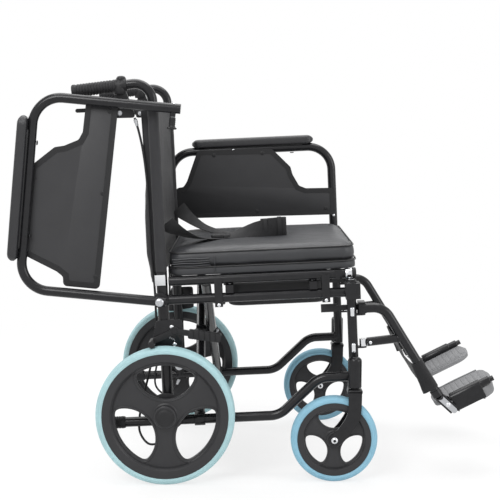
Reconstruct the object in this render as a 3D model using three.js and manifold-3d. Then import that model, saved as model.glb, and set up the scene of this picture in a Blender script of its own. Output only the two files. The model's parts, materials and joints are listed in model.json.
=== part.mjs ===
// A folding steel-tube wheelchair that an attendant pushes: flip-back armrests, a commode pan under
// the seat cushion, swing-away legrests with flip-up footplates, wheel locks and hub brakes.
// Millimetres. +X is forward, +Y is the sitter's left and +Z is up; the rear axle is the origin of the
// frame's own group, which is raked a little, nose up.
import * as THREE from 'three';
import { mergeVertices } from 'three/addons/utils/BufferGeometryUtils.js';
import Module from 'manifold-3d';

const wasm = await Module();
wasm.setup();

// Sizes shared by the whole chair
const FIT = 0.3;                    // play between two pieces that fit together
const TOUCH = 0.05;                 // left between two faces where one rests on the other
const OVERRUN = 2;                  // how far a cutting tool passes the face that it cuts
const RAKE = THREE.MathUtils.degToRad(2.6);
const TUBE_RADIUS = 11;
const TUBE_SIDES = 10;
const THIN_SIDES = 8;
const BEND_STEPS = 4;
const FRAME_HALF_WIDTH = 235;       // from the middle of the chair to a side frame's tubes

// Side frame, in its own plane: lengths ahead of the rear axle and heights above it
const SEAT_RAIL_HEIGHT = 298.5;
const LOWER_RAIL_DROP = 43;         // below the seat rail
const LOWER_RAIL_HEIGHT = SEAT_RAIL_HEIGHT - LOWER_RAIL_DROP;
const UPRIGHT_RADIUS = 12.5;
const UPRIGHT_PLACE = 4;
const UPRIGHT_RISE = 64.5;          // above the lower rail
const UPRIGHT_TOP = LOWER_RAIL_HEIGHT + UPRIGHT_RISE;
const SOCKET_DEPTH = 30;
const POST_PLACE = 434;
const POST_RISE = 20.5;             // above the lower rail
const POST_TOP = LOWER_RAIL_HEIGHT + POST_RISE;
const POST_BOTTOM = 44;
const POST_SOCKET_RADIUS = 12.5;
const POST_SOCKET_LENGTH = 37;
const BOTTOM_TUBE_DROP = 24;
const TIPPING_REACH = 128;          // how far the bottom tube sticks out behind the axle
const BOTTOM_BEND_PLACE = 258;
const BOTTOM_RISE_PLACE = 354;
const BOTTOM_FRONT_HEIGHT = 60;
const FRAME_BEND_RADIUS = 55;
const AXLE_BOSS_RADIUS = 17;
const AXLE_BOSS_LENGTH = 27;

// Seat rails and cross brace
const SEAT_RAIL_REAR = 22;
const SEAT_RAIL_FRONT = 422;
const RAIL_END_RADIUS = 11.6;
const RAIL_END_LENGTH = 24;
const BRACE_A_PLACE = 75;
const BRACE_STEP = 28;              // brace B lies this far ahead of brace A
const BRACE_SLEEVE_WALL = 4;
const BRACE_SLEEVE_LENGTH = 24;
const BRACE_BOLT_RADIUS = 5;
const BRACE_BOLT_HEAD = 9;
const BRACE_BOLT_HEAD_LENGTH = 5;
const BRACE_EYE_RADIUS = 15;

// Back canes and push handles
const CANE_TOP = 752;
const CANE_BEND_RADIUS = 40;
const GRIP_FALL_SHARE = 0.077;      // drop of the handle for each unit of its length
const HANDLE_REACH = 176;           // from the cane to the handle's rear end
const GRIP_LENGTH = 96;
const GRIP_RADIUS = 14.5;
const GRIP_WAIST = 13;
const GRIP_END_WALL = 4;
const GRIP_RIBS = 5;

// Rear wheels
const WHEEL_OFFSET = 45;            // wheel plane outside the frame tubes
const REAR_RADIUS = 157.5;
const REAR_TYRE_WIDTH = 38;
const REAR_TYRE_SHOULDER = 9;
const REAR_RIM_RADIUS = 143;
const REAR_RIM_WIDTH = 34;
const REAR_RIM_DEPTH = 24;
const REAR_WEB_HALF = 6;
const REAR_BEVEL = 8;
const REAR_HUB_RADIUS = 26;
const REAR_HUB_LENGTH = 44;
const REAR_CAP_RADIUS = 21.5;
const REAR_CAP_LENGTH = 4;
const REAR_OPENING_RADIUS = 70;
const REAR_OPENING_OFFSET = 107;
const REAR_SPOKE_LIP = 4;
const AXLE_RADIUS = 6;
const AXLE_HEAD_RADIUS = 11;
const AXLE_HEAD_LENGTH = 7;
const DRUM_RADIUS = 44;
const DRUM_LENGTH = 7;

// Casters
const CASTER_OFFSET = 26;           // caster plane outside the frame tubes
const CASTER_STEM_PLACE = 429.3;    // stem ahead of the rear axle, measured level
const CASTER_TRAIL = 46.3;
const CASTER_RADIUS = 99;
const CASTER_TYRE_WIDTH = 30;
const CASTER_TYRE_SHOULDER = 8;
const CASTER_RIM_RADIUS = 84;
const CASTER_RIM_WIDTH = 27;
const CASTER_RIM_DEPTH = 16;
const CASTER_WEB_HALF = 5;
const CASTER_BEVEL = 5;
const CASTER_HUB_RADIUS = 18;
const CASTER_HUB_LENGTH = 32;
const CASTER_OPENING_RADIUS = 38;
const CASTER_OPENING_OFFSET = 61;
const CASTER_SPOKE_LIP = 3;
const CASTER_AXLE_RADIUS = 4;
const CASTER_NUT_RADIUS = 7.5;
const CASTER_NUT_LENGTH = 5;
const STEM_RADIUS = 6;
const STEM_HOUSING_RADIUS = 15.5;
const STEM_HOUSING_BOTTOM = 218;    // above the floor
const STEM_HOUSING_TOP = 287;
const STEM_HOUSING_WALL = 6;
const HOUSING_WEB_HALF = 5;
const HOUSING_WEB_LOW = 64;
const HOUSING_WEB_HIGH = 98;
const CROWN_TOP = 214;
const CROWN_HEIGHT = 9;
const CROWN_HALF_LENGTH = 17;
const BLADE_THICKNESS = 4;
const BLADE_HALF_WIDTH = 15;
const BLADE_EYE_RADIUS = 14;

// Tipping caps on the rear ends of the bottom tubes
const TIP_CAP_RADIUS = 14;
const TIP_CAP_LENGTH = 32;
const TIP_CAP_WALL = 6;
const TIP_CAP_ROUND = 4;

// Brake lever, its clamp on the handle and its cable
const BRAKE_RING_RADIUS = 14.8;
const BRAKE_RING_LENGTH = 24;
const BRAKE_KNOB_RADIUS = 11;
const BRAKE_KNOB_HEIGHT = 10;
const BRAKE_BRACKET_WIDTH = 16;
const BRAKE_PIVOT_BACK = 6;
const BRAKE_PIVOT_DROP = 62;
const BRAKE_PIN_RADIUS = 3;
const BRAKE_BARREL_AHEAD = 26;
const BRAKE_BARREL_DROP = 74;
const BRAKE_SEAT_DEPTH = 6;
const BRAKE_SLOT_PLAY = 5;
const BRAKE_LEVER_THICKNESS = 6;
const BRAKE_LEVER_LENGTH = 100;
const BRAKE_LEVER_DEPTH = 9;
const BRAKE_LEVER_RISE = 14;
const BRAKE_LEVER_BEND_SHARE = 0.3;
const BRAKE_EYE_RADIUS = 9;
const CABLE_RADIUS = 2.6;

// Brake cable's route down the cane, round under the bottom tube and up to the hub's brake drum
const CABLE_ROUTE = [
  [-30, 235, 640], [-23, 235, 596], [-18.5, 235, 540], [-17.5, 235, 480], [-17.5, 235, 360],
  [-14, 233, 300], [-14, 226, 240], [-18, 217, 180], [-34, 217, 100], [-54, 217, 30], [-66, 218, -20],
  [-66, 224, -52], [-50, 234, -75], [-30, 244, -76], [-14, 250, -62],
];
const CABLE_RINGS = 50;
const CABLE_SIDES = 8;

const REAR_SEGMENTS = 32;
const CASTER_SEGMENTS = 26;
const CROWN_GAP = 4;                // bearing race between the fork's crown and the stem housing
const RACE_RADIUS = 10;
const BLADE_KNEE = 150;             // above the floor, where the fork's blades turn back

// Armrest: lengths from its hinge pin
const ARM_OFFSET = 32;              // arm plane outside the frame tubes
const ARM_PIVOT_RISE = 2.5;         // above the lower rail
const ARM_PIVOT_HEIGHT = LOWER_RAIL_HEIGHT + ARM_PIVOT_RISE;
const ARM_FRONT_LEAD = 0.7;         // its front leg, ahead of the front post
const ARM_FRONT = POST_PLACE + ARM_FRONT_LEAD;
const ARM_TOP = 317;
const ARM_TIP = 8;                  // the front leg ends this far below the hinge pin
const ARM_HEEL = 13;
const ARM_BEND_RADIUS = 63;
const ARM_FLIP = THREE.MathUtils.degToRad(82);
const ARM_PIN_RADIUS = 5;
const ARM_PIN_HEAD = 9;
const ARM_PIN_HEAD_LENGTH = 4;
const ARM_DISC_RADIUS = 18;
const PAD_LENGTH = 328;
const PAD_REAR = 61;
const PAD_WIDTH = 42;
const PAD_SHIFT = 4;
const PAD_HEIGHT = 24;
const PAD_SINK = 3;
const PAD_ROUND = 6;
const PAD_CORNER = 18;
const PANEL_REAR = 13;
const PANEL_LENGTH = 427;
const PANEL_LOW = 132;
const PANEL_HEIGHT = 189;
const PANEL_THICKNESS = 5.2;
const PANEL_CORNER = 10;
const PANEL_OUTLINE_SHARES = [
  [0, 0.042], [1, 0], [0.998, 0.381], [0.82, 0.392], [0.778, 0.434], [0.74, 0.598], [0.728, 0.709],
  [0.618, 0.974], [0.157, 1], [0.143, 0.963], [0.073, 0.566], [0.049, 0.487], [0, 0.476],
];
const PLUNGER_RISE = 16;            // above the tip of the front leg
const PLUNGER_RADIUS = 3.5;
const PLUNGER_NOSE = 8;
const PLUNGER_STUB_RADIUS = 6;
const PLUNGER_STUB_LENGTH = 8;
const PLUNGER_KNOB_RADIUS = 6.5;
const PLUNGER_KNOB_LENGTH = 28;
const PLUNGER_FLANGE_RADIUS = 11;
const PLUNGER_FLANGE_LENGTH = 4;
const CATCH_PLAY = 1.6;
const CATCH_WALL = 4;
const CATCH_HEIGHT = 36;
const CATCH_FLOOR = 4;

// Wheel lock
const LOCK_PIVOT_PLACE = 28;
const LOCK_BAY = ARM_PIVOT_HEIGHT - ARM_DISC_RADIUS - REAR_RADIUS;    // tyre to armrest hinge
const LOCK_PLATE_SHARE = 0.6606;    // of that bay, up to the plate's top edge
const LOCK_PIVOT_SHARE = 0.34545;   // of that bay, up to the lever's pivot
const LOCK_PLATE_DEPTH = 66;
const LOCK_PLATE_HIGH = REAR_RADIUS + LOCK_BAY * LOCK_PLATE_SHARE;
const LOCK_PLATE_LOW = LOCK_PLATE_HIGH - LOCK_PLATE_DEPTH;
const LOCK_PIVOT_HEIGHT = REAR_RADIUS + LOCK_BAY * LOCK_PIVOT_SHARE;
const LOCK_PLATE_THICKNESS = 3;
const LOCK_PLATE_REAR = 26;
const LOCK_PLATE_FRONT = 46;
const LOCK_PIN_RADIUS = 4;
const LOCK_PIN_HEAD = 7;
const LOCK_PIN_HEAD_LENGTH = 3;
const LOCK_ARM_THICKNESS = 5;
const LOCK_ARM_HALF_WIDTH = 6.6;
const LOCK_SHOE_RADIUS = 8;
const LOCK_SHOE_PLACE = 22;         // behind the rear axle
const LOCK_SHOE_LENGTH = 44;
const LOCK_GRIP_START_SHARE = 0.3;
const LOCK_LEVER_REACH = 105;
const LOCK_LEVER_FALL = 19;
const LOCK_GRIP_HALF_WIDTH = 10;
const LOCK_GRIP_THICKNESS = 16;
const LOCK_GRIP_RIBS = 6;
const LOCK_RIB_DEPTH = 2;

// Saddles on the lower rail that the seat rails drop into
const SADDLE_PLACES = [132, 376];
const SADDLE_LENGTH = 18;
const SADDLE_WALL = 5;
const SADDLE_DROP = 8;              // below the lower rail's underside
const SADDLE_LIP = 2;               // above the seat rail's axis

// Plug in the top of the front post
const PLUG_HEIGHT = 8;
const PLUG_CAP_HEIGHT = 2.5;

// Block under the cushion near each seat rail's front end
const RAIL_STOP_PLACE = 406;
const RAIL_STOP_HALF = 8;
const RAIL_STOP_WALL = 0.6;
const RAIL_STOP_TOP = 10;

// Commode pan and the carrier that hangs it between the rails
const PAN_REAR = 141;
const PAN_LENGTH = 256;
const PAN_HALF_WIDTH = 124;
const PAN_FLANGE = 7;
const PAN_FLANGE_THICKNESS = 3;
const PAN_RIM_DROP = 23.5;          // below the seat rails
const PAN_RIM_HEIGHT = SEAT_RAIL_HEIGHT - PAN_RIM_DROP;
const PAN_DEPTH = 60;
const PAN_WALL = 3;
const PAN_DRAFT = 12;
const PAN_CORNER = 40;
const CARRIER_BAR_PLACES = [157, 348];
const CARRIER_BAR_LENGTH = 18;
const CARRIER_BAR_THICKNESS = 4;
const CARRIER_BAR_LIFT = 14;        // above the lower rail's top
const CARRIER_FOOT_WIDTH = 22;
const RUNNER_WALL = 3;
const RUNNER_LIP = 6;

// Seat cushion
const CUSHION_REAR = 18;
const CUSHION_LENGTH = 432;
const CUSHION_HALF_WIDTH = 241;
const CUSHION_CORNER = 34;
const CUSHION_BASE = 18;
const CUSHION_EDGE = 34;
const CUSHION_CROWN = 9;
const CUSHION_SHOULDER = 14;
const CUSHION_SEAM = 2.5;
const CUSHION_AROUND = 10;
const PAN_AROUND = 5;

// Back upholstery
const BACK_TOP = 700;
const BACK_SKIRT = 2.5;             // its lower edge, below the seat rails
const BACK_BOTTOM = SEAT_RAIL_HEIGHT - BACK_SKIRT;
const BACK_SLEEVE_RADIUS = 13.2;
const BACK_PANEL_THICKNESS = 8;
const BACK_SAG = 16;
const BACK_FRONT = 7;
const BACK_POCKET_TOP = 545;
const BACK_POCKET_DEPTH = 14;
const BACK_POCKET_HALF_WIDTH = 195;
const BACK_FOLD = 3;
const BACK_FOLDS = 3;
const BACK_ACROSS = 12;
const BACK_LEVELS = 10;

// Calf strap
const STRAP_SLEEVE_RADIUS = 13.4;
const STRAP_SLEEVE_START = 148;     // along the hanger's slope, from its upper corner
const STRAP_WIDTH = 72;
const STRAP_THICKNESS = 3;
const STRAP_SAG = 20;
const STRAP_STEPS = 10;

// Lap belt: its heights are above the cushion's crown
const CUSHION_TOP = SEAT_RAIL_HEIGHT + RAIL_END_RADIUS + TOUCH + CUSHION_BASE + CUSHION_EDGE + CUSHION_CROWN;
const BELT_WIDTH = 38;
const BELT_THICKNESS = 2.5;
const BELT_STEPS = 30;
const BELT_ROUTE = [
  [20, -219, 59], [40, -196, 39], [80, -146, 15], [124, -84, 4], [160, -34, 1.7], [160, 34, 1.7],
  [124, 84, 4], [80, 146, 15], [40, 196, 39], [20, 219, 59],
];
const BELT_TWIST_SHARE = 0.25;      // of the belt's length, over which it turns flat
const BELT_TAIL = [[138, -60, 5], [176, -62, 21], [232, -62, 53], [272, -62, 33], [298, -62, 4]];
const BELT_TAIL_STEPS = 12;
const BUCKLE_PLACE = [138, -62, 7.1];
const BUCKLE_LENGTH = 46;
const BUCKLE_WIDTH = 44;
const BUCKLE_HEIGHT = 14;
const BUCKLE_ROUND = 5;

// Legrest: lengths ahead of its hinge pin, heights above the rear axle
const HINGE_GAP = 1;
const HANGER_HEIGHT = 216.5;
const HANGER_CORNER = 50;
const HANGER_FALL = THREE.MathUtils.degToRad(60.9);
const HANGER_SLOPE_LENGTH = 226;
const HANGER_BEND_RADIUS = 44;
const HANGER_BORE_RADIUS = 9;
const HINGE_PIN_RADIUS = 4;
const HINGE_LUG_HALF_WIDTH = 8;
const HINGE_LUG_THICKNESS = 4;
const STRUT_HEIGHT = 138;
const STRUT_RISE = 6;
const STRUT_RADIUS = 10;
const STRUT_START = 9;
const STRUT_EYE_RADIUS = 8;
const STRUT_EYE_LENGTH = 16;
const FASTENER_HALF_WIDTH = 5;
const FASTENER_HEIGHT = 24;
const FASTENER_THICKNESS = 2;

// Release lever on the hanger's inner side
const LATCH_OFFSET = 21;
const LATCH_PLATE_THICKNESS = 3.5;
const LATCH_PIN_RADIUS = 2.5;
const LATCH_EYE_RADIUS = 6;
const LATCH_THICKNESS = 5;
const LATCH_HEIGHT = 12;
const LATCH_REACH = 92;
const LATCH_PADDLE_LENGTH = 36;
const LATCH_PADDLE_HEIGHT = 18;

// Sliding extension and the footplate on its hinge spindle
const EXTENSION_RADIUS = 8.7;
const EXTENSION_OVERLAP = 90;
const EXTENSION_COLLAR = 12.5;
const EXTENSION_COLLAR_LENGTH = 16;
const FOOT_INSET = 26;              // spindle inside the hanger tubes' plane
const FOOT_START = [193, -13];      // spindle's rear end, from the hinge pin and the axle
const FOOT_TILT = THREE.MathUtils.degToRad(24.2);
const SPINDLE_RADIUS = 6;
const SPINDLE_LENGTH = 118;
const SPINDLE_STUB = 8;
const BARREL_RADIUS = 12.5;
const BARREL_LENGTH = 100;
const SKIRT_DEPTH = 30;
const SKIRT_THICKNESS = 5;
const PLATE_HEEL = 19;
const PLATE_TOE = 56;
const PLATE_WIDTH = 134;
const PLATE_THICKNESS = 8;
const PLATE_SINK = 2;
const PLATE_CORNER = 38;
const PLATE_LIP = 5;
const PLATE_GROOVES = 7;
const PLATE_GROOVE_PITCH = 15;
const PLATE_GROOVE_WIDTH = 5;
const PLATE_GROOVE_DEPTH = 2;
const FOOT_STRIP_WIDTH = 22;
const FOOT_STRIP_THICKNESS = 5;
const FOOT_STRIP_DROP = 40;

// Turns any closed three.js geometry into a manifold solid with its faces outward.
function solid(geometry) {
  const bare = geometry.clone();
  bare.deleteAttribute('normal');
  bare.deleteAttribute('uv');
  const merged = mergeVertices(bare);
  const places = merged.getAttribute('position');
  const index = merged.getIndex().array;
  const faces = [];
  let volume = 0;
  const [a, b, c] = [new THREE.Vector3(), new THREE.Vector3(), new THREE.Vector3()];
  for (let i = 0; i < index.length; i += 3) {
    const [p, q, r] = [index[i], index[i + 1], index[i + 2]];
    if (p !== q && q !== r && r !== p) {
      faces.push([p, q, r]);
      a.fromBufferAttribute(places, p);
      b.fromBufferAttribute(places, q);
      c.fromBufferAttribute(places, r);
      volume += a.dot(b.cross(c));
    }
  }
  const triVerts = new Uint32Array(faces.flatMap(([p, q, r]) => (volume < 0 ? [p, r, q] : [p, q, r])));
  return new wasm.Manifold(new wasm.Mesh({
    numProp: 3,
    vertProperties: new Float32Array(places.array),
    triVerts,
  }));
}

// Turns a manifold solid back into a three.js geometry.
function shapeOf(manifold) {
  const mesh = manifold.getMesh();
  const geometry = new THREE.BufferGeometry();
  geometry.setAttribute('position', new THREE.BufferAttribute(new Float32Array(mesh.vertProperties), 3));
  geometry.setIndex(new THREE.BufferAttribute(new Uint32Array(mesh.triVerts), 1));
  geometry.computeVertexNormals();
  return geometry;
}

// Joins geometries into one closed solid, then takes the cutting geometries away.
function carve(bodies, cuts = []) {
  let result = solid(bodies[0]);
  for (const body of bodies.slice(1)) result = result.add(solid(body));
  for (const cut of cuts) result = result.subtract(solid(cut));
  return shapeOf(result);
}

// Only what two geometries share.
function common(one, other) {
  return shapeOf(solid(one).intersect(solid(other)));
}

// A path of straight runs with round bends at its corners.
class BentLine extends THREE.Curve {
  constructor(corners, bendRadius, bendSteps) {
    super();
    const points = corners.map(([x, y, z]) => new THREE.Vector3(x, y, z));
    const last = points.length - 1;
    this.rings = [];
    this.ways = [];
    const ways = points.slice(1).map((point, i) => point.clone().sub(points[i]).normalize());
    this.addRing(points[0], ways[0]);
    for (let i = 1; i < last; i += 1) {
      const [before, after] = [ways[i - 1], ways[i]];
      const turn = before.angleTo(after);
      const reach = bendRadius * Math.tan(turn / 2);
      const inward = after.clone().sub(before).normalize();
      const centre = points[i].clone().addScaledVector(inward, bendRadius / Math.cos(turn / 2));
      const start = points[i].clone().addScaledVector(before, -reach);
      const spoke = start.clone().sub(centre);
      const axle = before.clone().cross(after).normalize();
      for (let k = 0; k <= bendSteps; k += 1) {
        const swing = (turn * k) / bendSteps;
        const ring = centre.clone().add(spoke.clone().applyAxisAngle(axle, swing));
        this.addRing(ring, before.clone().applyAxisAngle(axle, swing));
      }
    }
    this.addRing(points[last], ways[last - 1]);
  }

  addRing(point, way) {
    this.rings.push(point.clone());
    this.ways.push(way.clone());
  }

  getSpacedPoints() {
    return this.rings;
  }

  getTangentAt(share, target = new THREE.Vector3()) {
    return target.copy(this.ways[Math.round(share * (this.ways.length - 1))]);
  }
}

function roundShape(radius, sides) {
  const points = [];
  for (let i = 0; i < sides; i += 1) {
    const angle = (2 * Math.PI * (i + 1 / 2)) / sides;
    points.push(new THREE.Vector2(radius * Math.cos(angle), radius * Math.sin(angle)));
  }
  return new THREE.Shape(points);
}

// A shape carried along a bent path.
function sweep(shape, corners, bendRadius, bendSteps = BEND_STEPS) {
  const path = new BentLine(corners, bendRadius, bendSteps);
  return new THREE.ExtrudeGeometry(shape, { steps: path.rings.length - 1, extrudePath: path });
}

function pipe(corners, radius, bendRadius, sides = TUBE_SIDES) {
  return sweep(roundShape(radius, sides), corners, bendRadius);
}

// Moves a geometry that stands on the origin along +Y so that it runs from one point to another.
function aim(geometry, from, to) {
  const start = new THREE.Vector3(...from);
  const way = new THREE.Vector3(...to).sub(start).normalize();
  const turn = new THREE.Quaternion().setFromUnitVectors(new THREE.Vector3(0, 1, 0), way);
  return geometry.applyQuaternion(turn).translate(start.x, start.y, start.z);
}

function rod(from, to, radius, sides = TUBE_SIDES) {
  const length = new THREE.Vector3(...from).distanceTo(new THREE.Vector3(...to));
  const cylinder = new THREE.CylinderGeometry(radius, radius, length, sides);
  return aim(cylinder.translate(0, length / 2, 0), from, to);
}

// A cutting cylinder whose flats, not its corners, lie at the given radius.
function cutter(from, to, radius, sides = TUBE_SIDES) {
  return rod(from, to, radius / Math.cos(Math.PI / sides), sides);
}

function block(low, high) {
  const box = new THREE.BoxGeometry(high[0] - low[0], high[1] - low[1], high[2] - low[2]);
  return box.translate((high[0] + low[0]) / 2, (high[1] + low[1]) / 2, (high[2] + low[2]) / 2);
}

// An outline in length and height, given its thickness across the chair.
function slab(outline, low, high) {
  const shape = new THREE.Shape(outline.map(([x, z]) => new THREE.Vector2(x, z)));
  const plate = new THREE.ExtrudeGeometry(shape, { depth: high - low, bevelEnabled: false });
  return plate.rotateX(Math.PI / 2).translate(0, high, 0);
}

// A profile of radius and place, turned about the Y axis.
function turned(profile, sides) {
  const points = profile.map(([radius, place]) => new THREE.Vector2(radius, place));
  return new THREE.LatheGeometry(points, sides);
}

// An outline with its sharp corners rounded.
function rounded(outline, radius, steps = BEND_STEPS) {
  const points = [];
  outline.forEach(([x, z], i) => {
    const corner = new THREE.Vector2(x, z);
    const before = new THREE.Vector2(...outline[(i + outline.length - 1) % outline.length]).sub(corner);
    const after = new THREE.Vector2(...outline[(i + 1) % outline.length]).sub(corner);
    const open = before.angleTo(after);
    const reach = Math.min(radius / Math.tan(open / 2), before.length() / 2, after.length() / 2);
    const curve = new THREE.QuadraticBezierCurve(
      corner.clone().addScaledVector(before.normalize(), reach),
      corner,
      corner.clone().addScaledVector(after.normalize(), reach),
    );
    for (const point of curve.getPoints(steps)) points.push([point.x, point.y]);
  });
  return points;
}

// Undoes the frame's rake about the rear axle, for what stands upright on a raked frame.
function level(geometry) {
  return geometry.rotateY(RAKE);
}

// The same geometry on the other side of the chair.
function mirrored(geometry) {
  const other = geometry.clone();
  other.scale(1, -1, 1);
  if (!other.index) other.setIndex([...Array(other.getAttribute('position').count).keys()]);
  const index = other.index.array;
  for (let i = 0; i < index.length; i += 3) [index[i], index[i + 1]] = [index[i + 1], index[i]];
  other.computeVertexNormals();
  return other;
}

function look(color, roughness, metalness) {
  return new THREE.MeshStandardMaterial({ color, roughness, metalness });
}

const SIDE_Y = FRAME_HALF_WIDTH;
const POST_HOUSING_Y = SIDE_Y + CASTER_OFFSET;
const WHEEL_Y = SIDE_Y + WHEEL_OFFSET;
const CASTER_STEM_FLOOR = REAR_RADIUS;     // the axle's height above the floor

// The welded side frame: two uprights, two long tubes, the axle boss and the caster's stem housing.
function sideFrame() {
  const rearFoot = [UPRIGHT_PLACE, SIDE_Y, -BOTTOM_TUBE_DROP];
  const rearTop = [UPRIGHT_PLACE, SIDE_Y, UPRIGHT_TOP];
  const bottomLine = [
    [-TIPPING_REACH, SIDE_Y, -BOTTOM_TUBE_DROP],
    [BOTTOM_BEND_PLACE, SIDE_Y, -BOTTOM_TUBE_DROP],
    [BOTTOM_RISE_PLACE, SIDE_Y, BOTTOM_FRONT_HEIGHT],
    [POST_PLACE, SIDE_Y, BOTTOM_FRONT_HEIGHT],
  ];
  const housingLow = STEM_HOUSING_BOTTOM - CASTER_STEM_FLOOR;
  const housingHigh = STEM_HOUSING_TOP - CASTER_STEM_FLOOR;
  const dome = STEM_HOUSING_RADIUS / 2;
  const housing = aim(
    turned([
      [0, 0],
      [STEM_HOUSING_RADIUS, 0],
      [STEM_HOUSING_RADIUS, housingHigh - housingLow - dome],
      [STEM_HOUSING_RADIUS - dome / 2, housingHigh - housingLow - dome / 2],
      [dome, housingHigh - housingLow],
      [0, housingHigh - housingLow],
    ], TUBE_SIDES),
    [CASTER_STEM_PLACE, POST_HOUSING_Y, housingLow],
    [CASTER_STEM_PLACE, POST_HOUSING_Y, housingHigh],
  );
  const stemBore = cutter(
    [CASTER_STEM_PLACE, POST_HOUSING_Y, housingLow - OVERRUN],
    [CASTER_STEM_PLACE, POST_HOUSING_Y, housingHigh - STEM_HOUSING_WALL],
    STEM_RADIUS + FIT,
  );
  const post = rod([POST_PLACE, SIDE_Y, POST_BOTTOM], [POST_PLACE, SIDE_Y, POST_TOP], TUBE_RADIUS);
  const collar = rod(
    [POST_PLACE, SIDE_Y, POST_TOP - POST_SOCKET_LENGTH],
    [POST_PLACE, SIDE_Y, POST_TOP],
    POST_SOCKET_RADIUS,
  );
  const boss = rod(
    [0, SIDE_Y - AXLE_BOSS_LENGTH / 2, 0],
    [0, SIDE_Y + AXLE_BOSS_LENGTH / 2, 0],
    AXLE_BOSS_RADIUS,
  );
  return carve(
    [
      rod(rearFoot, rearTop, UPRIGHT_RADIUS),
      rod(
        [UPRIGHT_PLACE, SIDE_Y, LOWER_RAIL_HEIGHT],
        [POST_PLACE, SIDE_Y, LOWER_RAIL_HEIGHT],
        TUBE_RADIUS,
      ),
      post,
      collar,
      pipe(bottomLine, TUBE_RADIUS, FRAME_BEND_RADIUS),
      boss,
      level(housing),
      block(
        [POST_PLACE - HOUSING_WEB_HALF, SIDE_Y, HOUSING_WEB_LOW],
        [POST_PLACE + HOUSING_WEB_HALF, POST_HOUSING_Y - STEM_RADIUS - FIT, HOUSING_WEB_HIGH],
      ),
    ],
    [
      cutter([UPRIGHT_PLACE, SIDE_Y, UPRIGHT_TOP - SOCKET_DEPTH],
        [UPRIGHT_PLACE, SIDE_Y, UPRIGHT_TOP + OVERRUN], TUBE_RADIUS + FIT),
      cutter([0, SIDE_Y - AXLE_BOSS_LENGTH, 0], [0, SIDE_Y + AXLE_BOSS_LENGTH, 0], AXLE_RADIUS + FIT),
      level(stemBore),
    ],
  );
}

// The end of the bottom tube that an attendant's foot treads on to tip the chair.
function tipCap() {
  const end = [-TIPPING_REACH, SIDE_Y, -BOTTOM_TUBE_DROP];
  const shell = aim(
    turned([
      [0, -TIP_CAP_WALL],
      [TIP_CAP_RADIUS - TIP_CAP_ROUND, -TIP_CAP_WALL],
      [TIP_CAP_RADIUS, TIP_CAP_ROUND - TIP_CAP_WALL],
      [TIP_CAP_RADIUS, TIP_CAP_LENGTH - TIP_CAP_ROUND],
      [TIP_CAP_RADIUS - TIP_CAP_ROUND / 2, TIP_CAP_LENGTH],
      [cornerRadius(TUBE_RADIUS + FIT, TUBE_SIDES), TIP_CAP_LENGTH],
      [cornerRadius(TUBE_RADIUS + FIT, TUBE_SIDES), -FIT],
      [0, -FIT],
    ], TUBE_SIDES),
    end,
    [0, SIDE_Y, -BOTTOM_TUBE_DROP],
  );
  return carve([shell]);
}

// The handle's line, from the top of the cane to its rear end.
const HANDLE_TOP = [UPRIGHT_PLACE, SIDE_Y, CANE_TOP];
const HANDLE_END = [
  UPRIGHT_PLACE - HANDLE_REACH,
  SIDE_Y,
  CANE_TOP - HANDLE_REACH * GRIP_FALL_SHARE,
];

// A place on the handle's line, so far back from the cane.
function alongHandle(back) {
  const length = Math.hypot(HANDLE_REACH, HANDLE_REACH * GRIP_FALL_SHARE);
  return [
    HANDLE_TOP[0] - (back * HANDLE_REACH) / length,
    SIDE_Y,
    HANDLE_TOP[2] - (back * HANDLE_REACH * GRIP_FALL_SHARE) / length,
  ];
}

const HANDLE_LENGTH = Math.hypot(HANDLE_REACH, HANDLE_REACH * GRIP_FALL_SHARE);

function backCane() {
  const foot = [UPRIGHT_PLACE, SIDE_Y, UPRIGHT_TOP - SOCKET_DEPTH + FIT];
  return pipe([foot, HANDLE_TOP, HANDLE_END], TUBE_RADIUS, CANE_BEND_RADIUS);
}

// A ribbed sleeve with a closed rear end.
function pushGrip() {
  const bore = cornerRadius(TUBE_RADIUS + FIT, TUBE_SIDES);
  const profile = [[0, GRIP_LENGTH + GRIP_END_WALL]];
  profile.push([GRIP_RADIUS - GRIP_END_WALL, GRIP_LENGTH + GRIP_END_WALL]);
  const pitch = GRIP_LENGTH / GRIP_RIBS;
  for (let i = 0; i < GRIP_RIBS; i += 1) {
    const place = GRIP_LENGTH - i * pitch;
    profile.push([GRIP_RADIUS, place]);
    profile.push([GRIP_RADIUS, place - pitch / 2]);
    profile.push([GRIP_WAIST, place - (pitch * 3) / 4]);
  }
  profile.push([GRIP_RADIUS, 0]);
  profile.push([bore, 0]);
  profile.push([bore, GRIP_LENGTH + FIT]);
  profile.push([0, GRIP_LENGTH + FIT]);
  return carve([aim(turned(profile, TUBE_SIDES), alongHandle(HANDLE_LENGTH - GRIP_LENGTH), HANDLE_END)]);
}

const BRAKE_RING_BACK = HANDLE_LENGTH - GRIP_LENGTH - BRAKE_RING_LENGTH / 2 - FIT;
const BRAKE_RING = alongHandle(BRAKE_RING_BACK);
const BRAKE_PIVOT = [BRAKE_RING[0] - BRAKE_PIVOT_BACK, SIDE_Y, BRAKE_RING[2] - BRAKE_PIVOT_DROP];
const CABLE_START = [BRAKE_RING[0] + BRAKE_BARREL_AHEAD, SIDE_Y, BRAKE_RING[2] - BRAKE_BARREL_DROP];

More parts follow.
